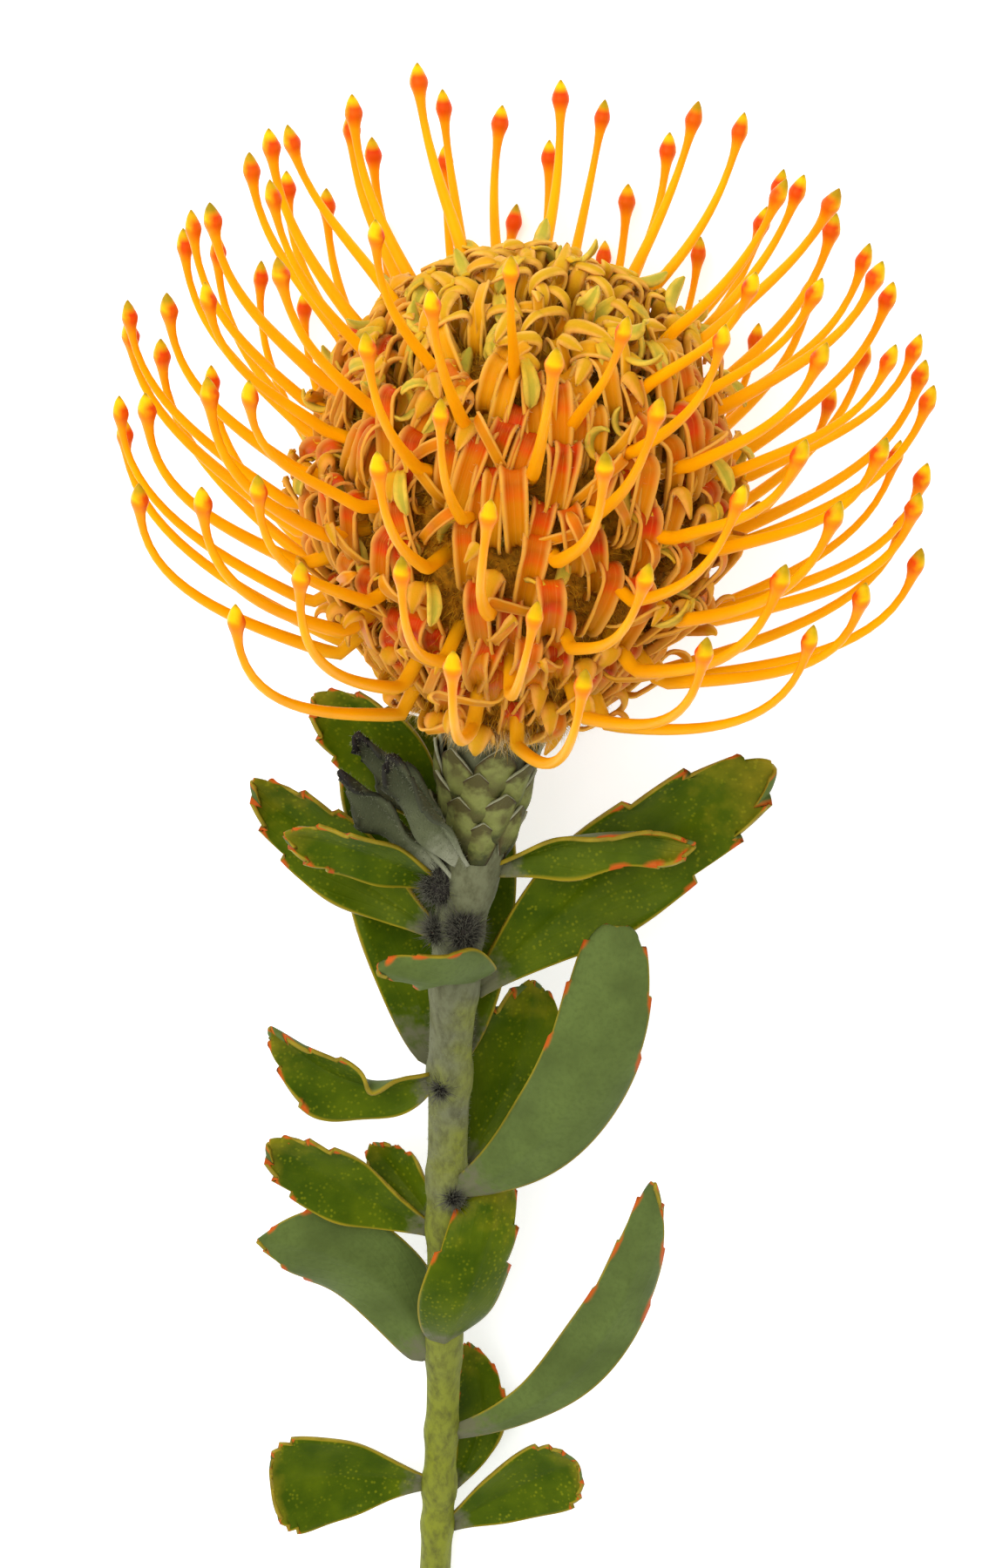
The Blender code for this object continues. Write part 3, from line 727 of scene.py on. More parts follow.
def hair_finish(name, root, tip):
    """Fine plant hairs: matt, one colour at the root and another from past the middle."""
    made, tree = finish_named(name, 0.8)
    shade = node(tree, "ValToRGB", {"Fac": "share"}, stops=((0.0, root), (0.6, tip)))
    return covered(made, shade)


def mottled(name, low, high, millimetres, roughness, bump, grain):
    """A matt surface of two mixed colours, with a fine grain that is so many millimetres."""
    made, tree = finish_named(name, roughness)
    spot = node(tree, "TexCoord", out="Object")
    cloud = node(tree, "TexNoise", sized(spot, millimetres, 5.0))
    shade = node(tree, "ValToRGB", {"Fac": cloud}, stops=((0.35, low), (0.68, high)))
    return covered(made, shade, grained(tree, spot, grain, bump, grain * 0.5))


# ---------------------------------------------------------------- flower head

Florets = namedtuple("Florets", "polar azimuth swing size tip_shift reach_shift")


def floret_places(count):
    """Each floret's angle from the apex, azimuth and draws, in the solids' own order of draws."""
    draw = random.Random(SEED)
    first, last = (math.cos(math.radians(a)) for a in FLORET_ARC)
    low, high = (math.radians(a) for a in STYLE_ARC)
    rows = []
    for k in range(count):
        azimuth = k * GOLDEN + draw.uniform(-0.05, 0.05)
        polar = math.acos(lerp(first, last, (k + 0.5) / count)) + draw.uniform(-0.02, 0.02)
        swing, size = draw.uniform(-0.9, 0.9), draw.uniform(0.9, 1.12)
        shifts = (math.nan, math.nan)
        if low < polar < high:
            shifts = (draw.uniform(-0.035, 0.035), draw.uniform(-1.5, 1.5) * MM)
        rows.append((polar, azimuth, swing, size, *shifts))
    return Florets(*np.array(rows).T)


def head_turn(head):
    """Rotation of the head's own frame, whose +Z runs to the apex, into the world."""
    lie_down = Matrix.Rotation(head.rise - math.radians(90.0), 3, "X")
    lean = Matrix.Rotation(-head.lean, 3, "Z")
    return np.array(lean @ lie_down)


def in_world(head, spots):
    """World places of points in the head's own frame."""
    return spots @ head_turn(head).T + np.array(head.centre)


def around(radius, azimuth, height):
    """Points in the head's own frame, from radius, azimuth and height about its axis."""
    return np.stack([radius * np.cos(azimuth), radius * np.sin(azimuth), height], -1)


def level_ways(azimuth):
    """Directions round the head's axis, square to each azimuth."""
    return around(np.ones_like(azimuth), azimuth + math.pi / 2, np.zeros_like(azimuth))


def style_paths(head, florets):
    """Styles' centre lines from root to tip, distances from the tip, and the ways across."""
    first, last = (math.radians(a) for a in STYLE_ARC)
    share = (florets.polar - first) / (last - first)
    low = florets.polar + LOW_STYLE_SINK * share ** 2.5
    root_r, root_z = head.dome_across * np.sin(low), head.dome_along * np.cos(low)
    tip_polar = np.radians(lerp(*STYLE_TIP_ARC, share)) + florets.tip_shift
    reach = head.style_reach - LOW_STYLE_SHORT * share ** 3 + florets.reach_shift
    tip_r, tip_z = reach * np.sin(tip_polar), reach * np.cos(tip_polar)
    out = np.radians(lerp(*STYLE_OUT, share))
    leave, arrive = lerp(*STYLE_LEAVE, share) * MM, lerp(*STYLE_ARRIVE, share) * MM
    lean_in = lerp(*STYLE_LEAN, share)
    control = ((root_r, root_z), (root_r + leave * np.sin(out), root_z + leave * np.cos(out)),
               (tip_r - lean_in * arrive, tip_z - arrive), (tip_r, tip_z))
    a, b, c, d = (around(r, florets.azimuth, z)[:, None] for r, z in control)
    t = np.linspace(0.0, 1.0, 120)[:, None]
    s = 1.0 - t
    curve = a * s ** 3 + b * 3 * s * s * t + c * 3 * s * t * t + d * t ** 3
    inner = around(root_r * 0.7, florets.azimuth, root_z * 0.7)[:, None]
    chance = np.random.default_rng(SEED)
    level = level_ways(florets.azimuth)
    sway = chance.uniform(-STYLE_SWAY, STYLE_SWAY, len(share))[:, None, None] * MM
    curve = curve + level[:, None] * sway * np.sin(math.pi * t)
    line = in_world(head, np.concatenate([inner, curve], 1))
    paths, stations = [], []
    near = np.array(TIP_STATIONS) * MM
    for row in line:
        walked = walk(row)
        back = np.concatenate([near, np.linspace(near[-1], walked[-1], STYLE_RINGS)[1:]])[::-1]
        paths.append([np.interp(walked[-1] - back, walked, row[:, k]) for k in range(3)])
        stations.append(back)
    return np.swapaxes(np.array(paths), 1, 2), np.array(stations), level


def style_radius(from_tip):
    """Radius of a style by its distance from the tip."""
    reach, radius = (np.array(column) * MM for column in zip(*STYLE_PROFILE))
    near = np.interp(from_tip, reach, radius)
    far = (from_tip - reach[-1]) / (from_tip.max(-1, keepdims=True) - reach[-1])
    return np.where(from_tip > reach[-1], lerp(radius[-1], STYLE_ROOT_RADIUS, far), near)


def build_styles(head):
    """The styles: curved waxy filaments, each with a bulged, pointed tip."""
    florets = floret_places(head.florets)
    florets = Florets(*(column[~np.isnan(florets.tip_shift)] for column in florets))
    paths, stations, level = style_paths(head, florets)
    radius = style_radius(stations)
    radius *= np.random.default_rng(SEED + 1).uniform(0.92, 1.1, len(radius))[:, None]
    paths[..., 2] = np.maximum(paths[..., 2], radius)
    rings = paths.shape[1]
    mesh, coords = repeated("styles", tube(STYLE_SIDES, rings - 1), len(paths))
    ring = np.rint(coords[:, 2] * (rings - 1)).astype(int)
    beside = np.clip(1.0 - stations / TIP_BENT, 0.0, 1.0) * TIP_ASIDE
    x = radius[:, ring] * coords[:, 0]
    y = radius[:, ring] * coords[:, 1] - beside[:, ring]
    across = level @ head_turn(head).T
    settle(mesh, swept(paths, across, ring, x, y))
    mark(mesh, "from_tip", stations[:, ring])
    mark(mesh, "inner_side", np.tile(coords[:, 1], len(paths)))
    age = np.random.default_rng(SEED + 20).uniform(-0.3, 0.9, len(paths))
    mark(mesh, "age", np.clip(age, 0.0, 1.0))
    return piece("styles", mesh, [waxy_style(head)], "petal", "flower_head")


Places = namedtuple("Places", "polar azimuth swing size")


def strap_places(head):
    """Where wide straps stand: two at each floret, a third at upper ones, a skirt and a crown."""
    florets = floret_places(head.florets)
    chance = np.random.default_rng(SEED + 2)
    upper = florets.polar < math.radians(AHEAD_ARC)
    counts = (len(florets.polar), np.count_nonzero(upper), SKIRT_STRAPS, CROWN_STRAPS)
    skirt_level = np.cos(np.radians(SKIRT_ARC))
    polar = (florets.polar + BESIDE[0], np.maximum(florets.polar + BEHIND[0], 0.05),
             florets.polar[upper] + AHEAD[0], np.arccos(np.linspace(*skirt_level, SKIRT_STRAPS)),
             np.radians(np.linspace(*CROWN_ARC, CROWN_STRAPS)))
    azimuth = (florets.azimuth + BESIDE[1],
               florets.azimuth + chance.uniform(*BEHIND[1], counts[0]),
               florets.azimuth[upper] + AHEAD[1], np.arange(SKIRT_STRAPS) * GOLDEN,
               np.arange(CROWN_STRAPS) * GOLDEN + 0.4)
    swing = [chance.uniform(-most, most, count) for most, count in zip(SWINGS, counts)]
    size = [chance.uniform(*span, count) for span, count in zip(SIZES, counts)]
    return Places(*(np.concatenate(parts) for parts in (
        polar, azimuth, [florets.swing, *swing], [florets.size, *size])))


def core_spots(head, polar, azimuth, inset=0.0):
    """Points on the receptacle in the head's own frame; it is drawn out towards the neck."""
    drawn = 1.0 + 0.2 * smooth((polar - math.radians(112.0)) / math.radians(45.0))
    return around((head.core_across - inset) * np.sin(polar), azimuth,
                  (head.core_along - inset) * np.cos(polar) * drawn)


def perianth_paths(head, places, turn, heading, pieces, rings, bow):
    """World paths of perianths that grow from the core, the way across them, and distances.

    turn is how far each runs aside from the apex's direction, and bow how far it bends aside.
    """
    azimuth, polar = places.azimuth, places.polar
    level = level_ways(azimuth)
    outward = around(np.sin(polar), azimuth, np.cos(polar))
    apexward = np.cross(outward, level)
    turn = turn[:, None]
    run = apexward * np.cos(turn) + level * np.sin(turn)
    across = np.cross(run, outward)
    root = core_spots(head, polar, azimuth)
    distance, height, advance = arcs(heading, pieces, rings)
    pressed = LOW_CURL + CURL_ROOM * np.tanh((height - LOW_CURL) / CURL_ROOM)
    height = np.where(height > LOW_CURL, pressed, height)
    aside = bow[:, None] * (distance / distance[:, -1:]) ** 2
    paths = (root[:, None] + outward[:, None] * (height - ROOT_DEPTH)[..., None]
             + run[:, None] * advance[..., None] + across[:, None] * aside[..., None])
    return in_world(head, paths), across @ head_turn(head).T, distance


def channel(u, half, bend):
    """Across and upright of a strap's section: an arc of so much bend, from edge to edge."""
    wrap = np.maximum(bend, 0.02)
    return half / wrap * np.sin(wrap * u), -half / wrap * (1.0 - np.cos(wrap * u))


def lowness(degrees):
    """How far a perianth is from the young ones at the apex, 0, towards the old ones, 1."""
    return smooth((degrees - 15.0) / 60.0)


def strap_plan(places):
    """Arcs of the wide straps: each rises, runs towards the apex, rolls over and ends in a tip."""
    chance = np.random.default_rng(SEED + 3)
    count = len(places.polar)
    degrees = np.degrees(places.polar)
    lower = lowness(degrees)
    short = 1.0 - 0.5 * smooth((degrees - 100.0) / 35.0)
    size = places.size * MM
    heading = np.radians(chance.uniform(2.0, 18.0, count))
    hug = 26.0 * smooth((degrees - 116.0) / 30.0)
    lean = np.radians(lerp(26.0, 78.0, lower ** 0.7) + hug + chance.uniform(-9.0, 5.0, count))
    run = lerp(0.4, 7.5, lower) * chance.uniform(0.7, 1.25, count) * size
    back = chance.random(count) < lerp(0.2, 0.8, lower)
    radius = lerp(2.8, 1.3, lower ** 0.7) * chance.uniform(0.8, 1.2, count) * size
    roll = np.radians(np.where(back, chance.uniform(110, 170, count),
                               -chance.uniform(120, lerp(215.0, 180.0, lower), count)))
    curl = np.sign(roll) * chance.uniform(0.2, 1.6, count)
    rise = chance.uniform(1.0, 2.8, count) * size * short
    bend = 2.3 * size * short
    pieces = ((rise, 0.0 * rise), (bend, lean - heading), (run, RUN_BEND * run / MM),
              (radius * np.abs(roll), roll), (3.8 * size, curl))
    return heading, pieces, rise + bend + run, back, lower


def build_straps(head):
    """The wide perianth straps; gives their shapes for the lobes and wool that grow on them."""
    places = strap_places(head)
    heading, pieces, to_roll, back, lower = strap_plan(places)
    chance = np.random.default_rng(SEED + 4)
    rings, columns, count = 18, 4, len(places.polar)
    paths, across, distance = perianth_paths(head, places, places.swing * lerp(1.7, 0.32, lower),
                                             heading, pieces, rings + 1,
                                             chance.uniform(-1.6, 1.6, count) * MM)
    mesh, coords, ring, u = strips("perianth_straps", columns, rings, count)
    to_roll = to_roll[:, None]
    past = np.clip((distance - to_roll) / (distance[:, -1:] - to_roll), 0.0, 1.0)
    before = np.clip(distance / to_roll, 0.0, 1.0)
    half = head.strap_half * profile(STRAP_WIDTHS, before + past)
    half = half * (places.size * lerp(0.7, 1.14, lower))[:, None]
    wrap = profile(STRAP_WRAP, before)
    wrap = wrap * np.where(back[:, None], lerp(1.0, 0.45, smooth(past * 3)), lerp(1.0, 0.7, past))
    twist = np.where(back, 0.35, 0.8) * chance.uniform(-0.8, 0.8, count)
    curl = twist[:, None] * smooth(distance / distance[:, -1:] * 1.6 - 0.6)
    x, y = channel(u, half[:, ring], wrap[:, ring])
    ripple = np.sin(distance / (2.3 * MM) + places.azimuth[:, None] * 9.0)[:, ring]
    y = y + ripple * np.abs(u) ** 3 * 0.15 * MM
    spots = settle(mesh, swept(paths, across, ring, x, y, curl), head.strap_thick)
    mark(mesh, "to_bend", np.where(past > 0.0, 0.5 + 0.5 * past, 0.5 * before)[:, ring])
    ripe = smooth((np.degrees(places.polar) - 36.0) / 38.0) + chance.uniform(-0.5, 0.3, count)
    mark(mesh, "ripe", np.clip(ripe, 0.0, 1.0))
    inside = strap_inside(head)
    outside = downy("perianth_outer_down", head.strap_outside, head.strap_margin, head.strap_base,
                    head.strap_orange)
    margin = downy("perianth_margin_down", head.strap_margin, head.strap_margin,
                   head.strap_outside, head.strap_orange)
    made = piece("perianth_straps", mesh, [inside, outside, margin], "petal", "flower_head")
    edge = made.vertex_groups.new(name="edge")
    for column in range(columns + 1):
        chosen = np.flatnonzero(np.tile(np.rint(coords[:, 0] * columns) == column, count))
        edge.add(chosen.tolist(), 0.2 + 0.8 * (2.0 * column / columns - 1.0) ** 2, "REPLACE")
    thicken(made, head.strap_thick, "edge")
    skirt = places.polar > math.radians(SKIRT_ARC[0])
    return (paths, across, curl, back, lower, skirt), (spots, coords)


def build_claws(head):
    """The narrow free claw of each perianth, rolled back on the other side of its style."""
    florets = floret_places(head.florets)
    chance = np.random.default_rng(SEED + 5)
    count = len(florets.polar)
    places = Places(florets.polar + CLAW[0], florets.azimuth + CLAW[1], florets.swing,
                    florets.size)
    size = places.size * MM
    degrees = np.degrees(places.polar)
    lower = lowness(degrees)
    heading = np.radians(chance.uniform(0.0, 20.0, count))
    hug = 36.0 * smooth((degrees - 112.0) / 26.0)
    lean = np.radians(lerp(30.0, 62.0, lower) + hug + chance.uniform(-14.0, 12.0, count))
    run = lerp(1.5, 6.0, lower) * chance.uniform(0.7, 1.3, count) * size
    radius = chance.uniform(1.2, 2.1, count) * size
    back = chance.random(count) < 0.35
    roll = np.radians(np.where(back, chance.uniform(120, 200, count),
                               -chance.uniform(120, 230, count)))
    rise = chance.uniform(2.4, 3.6, count) * size
    pieces = ((rise, 0.0 * rise), (3.0 * size, lean - heading),
              (run, RUN_BEND * run / MM), (radius * np.abs(roll), roll))
    turn = places.swing * 0.8 + chance.uniform(-0.9, 0.9, count) * lerp(2.0, 1.0, lower)
    rings, columns = 16, 2
    paths, across, distance = perianth_paths(head, places, turn, heading, pieces, rings + 1,
                                             chance.uniform(-2.0, 2.0, count) * MM)
    mesh, _, ring, u = strips("perianth_claws", columns, rings, count)
    share = distance / distance[:, -1:]
    half = head.claw_half * profile(CLAW_WIDTHS, share)
    curl = chance.uniform(-1.0, 1.0, count)[:, None] * smooth(share * 1.6 - 0.6)
    x, y = channel(u, half[:, ring], np.full_like(half[:, ring], 0.7))
    settle(mesh, swept(paths, across, ring, x, y, curl), head.strap_thick)
    mark(mesh, "to_bend", share[:, ring] * 0.8)
    mark(mesh, "ripe", np.clip(0.6 * lower + chance.uniform(-0.4, 0.1, count), 0.0, 1.0))
    finishes = [bpy.data.materials[name] for name in
                ("perianth_inner_skin", "perianth_outer_down", "perianth_margin_down")]
    thicken(piece("perianth_claws", mesh, finishes, "petal", "flower_head"), THIN_STRAP)


def build_lobes(head, straps):
    """The side limbs of some straps, which part from the strap where it rolls over."""
    chance = np.random.default_rng(SEED + 6)
    paths, across, twist, back, lower, skirt = straps
    along, wide, deep = framed(paths, across)
    parts = []
    for side in (-1.0, 1.0):
        chosen = (chance.random(len(paths)) < lerp(0.22, 0.5, lower)) & ~skirt
        ahead = along[chosen, LIMB_RING]
        wide_end, deep_end = turned(wide[chosen, LIMB_RING], deep[chosen, LIMB_RING],
                                    twist[chosen, LIMB_RING])
        tilt = side * chance.uniform(0.25, 0.8, len(ahead))[:, None]
        bend = np.where(back[chosen], 1.0, -1.0) * np.where(chance.random(len(ahead)) < 0.75, 1, -1)
        start = paths[chosen, LIMB_RING] + wide_end * side * 1.0 * MM - ahead * 0.8 * MM
        size = chance.uniform(0.85, 1.2, len(ahead)) * lerp(1.15, 1.0, lower[chosen])
        parts.append((start, unit(ahead * np.cos(tilt) + wide_end * np.sin(tilt)),
                      deep_end * bend[:, None], size[:, None]))
    start, first, curl, size = (np.concatenate(column) for column in zip(*parts))
    count, columns, rings = len(start), 3, 7
    radius = chance.uniform(1.8, 6.0, count)[:, None] * MM
    bend = np.linspace(0.0, 1.0, rings + 1) * size * LIMB_LENGTH / radius
    paths = (start[:, None] + first[:, None] * (radius * np.sin(bend))[..., None]
             + curl[:, None] * (radius * (1.0 - np.cos(bend)))[..., None])
    mesh, coords, ring, u = strips("perianth_lobes", columns, rings, count)
    half = profile(LIMB_HALVES, coords[:, 1]) * MM
    x, y = channel(u, half * size, np.full((count, len(u)), 0.9))
    twist = chance.uniform(-0.7, 0.7, count)[:, None] * np.linspace(0.0, 1.0, rings + 1)
    settle(mesh, swept(paths, np.cross(first, curl), ring, x, -y, twist), head.strap_thick)
    finish = downy("limb_down", head.lobe_green, head.lobe_edge, head.strap_outside,
                   head.strap_orange, 0.6)
    thicken(piece("perianth_lobes", mesh, [finish, finish, finish], "petal", "flower_head"),
            THIN_STRAP)


def build_margin_wool(head, places, coords):
    """Short pale hairs along both edges of the wide straps, whose points are given."""
    chance = np.random.default_rng(SEED + 7)
    rows = []
    for edge, inner in ((0.0, 0.25), (1.0, 0.75)):
        line = places[:, np.isclose(coords[:, 0], edge)]
        inside = places[:, np.isclose(coords[:, 0], inner)]
        spot = chance.uniform(3.0, line.shape[1] - 1.001, (len(places), EDGE_HAIRS))
        low, part = spot.astype(int)[..., None], (spot % 1.0)[..., None]
        root, neck = (lerp(np.take_along_axis(side, low, 1), np.take_along_axis(side, low + 1, 1),
                           part) for side in (line, inside))
        rows.append((root, unit(root - neck)))
    roots, out = (np.concatenate(column, 1).reshape(-1, 3) for column in zip(*rows))
    aim = unit(out + chance.normal(0.0, 0.55, roots.shape))
    reach = chance.uniform(0.35, 0.9, len(roots))[:, None] * MM
    grow("margin_wool", roots, roots + aim * reach, DOWN_RADIUS,
         hair_finish("pale_wool", head.strap_margin, head.wool), "petal", "flower_head")


def build_receptacle(head):
    """The solid core of the head, roughened by the stumps and hair between its florets."""
    bm = tube(sides=72, rings=60)
    chance = np.random.default_rng(SEED + 8)
    coords = points(bm.verts)
    polar = coords[:, 2] * CORE_END
    azimuth = np.arctan2(coords[:, 1], coords[:, 0])
    rough = 1.0 + chance.uniform(-0.012, 0.012, len(polar))
    core = core_spots(head, polar, azimuth, CORE_INSET) * rough[:, None]
    neck = around(np.full_like(polar, NECK_RADIUS), azimuth,
                  lerp(NECK_TOP, NECK_END, smooth((coords[:, 2] - 0.93) / 0.07)))
    blend = smooth((coords[:, 2] - 0.92) / 0.06)[:, None]
    mesh = mesh_of("receptacle", bm, in_world(head, core * (1.0 - blend) + neck * blend))
    finish = mottled("receptacle_pile", dimmed(head.core_colour, 0.35), head.core_colour, 1.4, 0.9,
                     0.8, 0.6)
    piece("receptacle", mesh, [finish], "petal", "flower_head")


def build_head_wool(head):
    """Golden-white woolly hairs round the neck, and golden ones between the florets."""
    chance = np.random.default_rng(SEED + 9)
    finishes = (bpy.data.materials["pale_wool"],
                hair_finish("floret_hairs", head.strap_base, head.strap_outside))
    for (name, arc, count, reach), finish in zip(HEAD_WOOL, finishes):
        level = np.cos(np.radians(arc))
        polar = np.arccos(chance.uniform(level[1], level[0], count))
        azimuth = chance.uniform(0.0, 2.0 * math.pi, count)
        root = core_spots(head, polar, azimuth, CORE_INSET)
        out = unit(root) + chance.normal(0.0, 0.45, root.shape)
        tip = root + unit(out) * chance.uniform(*reach, count)[:, None] * MM
        droop = chance.normal(0.0, 0.35, root.shape) * MM
        grow(name, in_world(head, root), in_world(head, tip), WOOL_RADIUS, finish, "petal",
             "flower_head", droop=droop @ head_turn(head).T, bends=1)


# ---------------------------------------------------------------- stem and involucre

def stem_line(head):
    """Centre points and radii of the stem from its cut end to the head, evenly smooth."""
    base = np.array((head.centre[0], head.centre[1], 0.0))
    knots = [(*(base + np.array(row[:3]) * MM), row[3] * MM) for row in STEM]
    for radius, height in CONE:
        spot = in_world(head, np.array((0.0, 0.0, height * MM)))
        knots.append((*spot, radius * MM))
    knots = np.array(knots)
    walked = walk(knots[:, :3])
    share = np.linspace(0.0, walked[-1], STEM_RINGS + 1)
    line = np.stack([np.interp(share, walked, column) for column in knots.T], -1)
    for _ in range(STEM_SOFTENED):
        line[1:-1] = (line[:-2] + 2.0 * line[1:-1] + line[2:]) / 4.0
    return line


def sideways(degrees):
    """Direction square to the stem's run, so many degrees round it."""
    return np.array((math.cos(math.radians(degrees)), 0.0, math.sin(math.radians(degrees))))


def stem_at(head, y):
    """Centre and radius of the stem where it passes a distance y, in mm, from the head's centre."""
    line = stem_line(head)
    *spot, radius = (np.interp(head.centre[1] + y * MM, line[:, 1], column) for column in line.T)
    return np.array(spot), radius


def stem_skin(stem):
    """Herbaceous bark: yellow-green below, grey with down above, with brownish specks."""
    made, tree = finish_named("stem_bark", 0.65)
    spot = node(tree, "TexCoord", out="Object")
    uneven = node(tree, "Math", {0: "up_stem", 1: node(tree, "TexNoise", sized(spot, 9.0, 5.0))},
                  operation="ADD")
    moved = node(tree, "Math", {0: uneven, 1: 0.5}, operation="SUBTRACT")
    body = node(tree, "ValToRGB", {"Fac": moved}, stops=(
        (0.0, stem.low), (0.5, lerp_colour(stem.low, stem.high, 0.25)),
        (0.75, stem.high)))
    long = node(tree, "Mapping", {"Vector": spot, "Scale": (1.0, 0.55, 1.0)})
    flecks = patches(tree, long, 1.3, 0.42, 0.72, 0.7, 6.0, 0.65)
    return covered(made, coated(tree, body, (flecks, stem.speck)),
                   grained(tree, long, 0.5, 0.5, 0.2))


def cut_face(stem):
    """Freshly cut stem: pale wet pith inside a green ring."""
    made, tree = finish_named("cut_pith", 0.45)
    rings = node(tree, "ValToRGB", {"Fac": "from_pith"}, stops=(
        (0.35, stem.pith), (0.5, stem.cut), (0.86, stem.cut), (0.95, stem.low)))
    spot = node(tree, "TexCoord", out="Object")
    return covered(made, rings, grained(tree, spot, 0.3, 0.4, 0.1, 3.0))


def build_stem(head, stem):
    """The stem with swollen leaf nodes, its ridges and its cut end."""
    line = stem_line(head)
    bm = tube(STEM_SIDES, STEM_RINGS)
    cut = next(face for face in bm.faces
               if len(face.verts) == STEM_SIDES and face.calc_center_median().z < 0.5)
    cut.material_index = 1
    for _ in range(3):
        bmesh.ops.inset_region(bm, faces=[cut], thickness=0.25, use_even_offset=False)
    coords = points(bm.verts)
    ring = np.rint(coords[:, 2] * STEM_RINGS).astype(int)
    turn = np.arctan2(coords[:, 1], coords[:, 0])
    out = np.hypot(coords[:, 0], coords[:, 1])
    swell = np.zeros(STEM_RINGS + 1)
    for y, *_ in (*LEAVES.values(), *BRACT_LEAVES.values()):
        near = (line[:, 1] - head.centre[1] - y * MM) / SWELL_LENGTH
        swell += np.exp(-near ** 2) * SWELL_HEIGHT
    ridges = sum(np.sin(turn * count + ring * twist) * depth * MM for count, twist, depth in RIDGES)
    radius = (line[ring, 3] + np.minimum(swell, SWELL_MOST)[ring] + ridges) * out
    across = np.array((1.0, 0.0, 0.0))[None]
    places = swept(line[None, :, :3], across, ring, (radius * np.cos(turn))[None],
                   (radius * np.sin(turn))[None])[0]
    places[:, 2] = np.maximum(places[:, 2], 0.0)
    mesh = mesh_of("stem", bm, places)
    mark(mesh, "up_stem", ring / STEM_RINGS)
    mark(mesh, "from_pith", out)
    piece("stem", mesh, [stem_skin(stem), cut_face(stem)], "stem", "stem_with_bracts")
    return line


def scale_finish(stem):
    """Downy olive scale with painted shade at its base, between the scales, and a painted highlight
    on its outer half; dried dark brown in patches and towards its point, and dark brown along its
    sides.
    """
    made, tree = finish_named("involucre_scale", 0.65)
    spot, across, along = coordinates(tree)
    cloud = node(tree, "TexNoise", sized(spot, 1.3, 5.0))
    moved = node(tree, "Math", {0: cloud, 1: 0.7, 2: along}, operation="MULTIPLY_ADD")
    # the darkest stop is painted shade at each scale's base, between the scales; the palest is a
    # painted highlight
    body = node(tree, "ValToRGB", {"Fac": moved}, stops=(
        (0.5, dimmed(stem.scale, 0.3)), (0.74, stem.scale), (0.98, stem.scale_highlight)))
    dry = node(tree, "MapRange", {"Value": moved, "From Min": 0.9, "From Max": 1.16,
                                  "To Max": 0.95})
    brown = node(tree, "Math", {0: dry, 1: patches(tree, spot, 2.6, 0.46, 0.66, 0.8, 4.0)},
                 operation="MAXIMUM")
    rim = node(tree, "ValToRGB", {"Fac": across}, stops=(
        (0.0, 0.9), (0.16, 0), (0.84, 0), (1.0, 0.9)))
    skin = coated(tree, body, (brown, lerp_colour(stem.scale, stem.scale_tip, 0.75)),
                  (rim, stem.scale_tip))
    return covered(made, skin, grained(tree, spot, 0.4, 0.5, 0.2))


def build_involucre(head, stem):
    """The overlapping pointed scales round the cone under the head."""
    chance = np.random.default_rng(SEED + 9)
    mesh, coords, _, u = strips("involucre_scales", columns=8, rings=14, count=SCALES)
    v = coords[:, 1]
    k = np.arange(SCALES)
    share = ((k + 0.5) / SCALES)[:, None]
    azimuth = (k * GOLDEN)[:, None]
    height = lerp(*SCALE_PLACES, share) * MM
    radius = profile(SCALE_ROOTS, share) * MM
    size = lerp(0.9, 1.12, share) * chance.uniform(0.93, 1.07, (SCALES, 1))
    half = profile(SCALE_HALVES, v) * MM
    z = height + (v - 0.5) * SCALE_LENGTH * size
    flare = SCALE_FLARE * smooth((v - 0.55) / 0.45) * MM * chance.uniform(0.3, 1.6, (SCALES, 1))
    keel = SCALE_KEEL * MM * (1.0 - np.abs(u)) * np.sin(math.pi * np.minimum(v * 1.15, 1.0))
    lift = SCALE_LEAN * (v - 0.5) * SCALE_LENGTH
    r = radius + lift + keel + flare + 0.25 * MM * share
    turn = azimuth + u * half * size / (radius + 1.0 * MM)
    settle(mesh, in_world(head, around(r, turn, z)))
    rim = mottled("scale_fringe", stem.down, lerp_colour(stem.down, stem.scale, 0.5),
                  1.0, 0.8, 0.5, 0.4)
    made = piece("involucre_scales", mesh, [scale_finish(stem)] * 2 + [rim], "bract",
                 "stem_with_bracts")
    thicken(made, SCALE_THICKNESS)


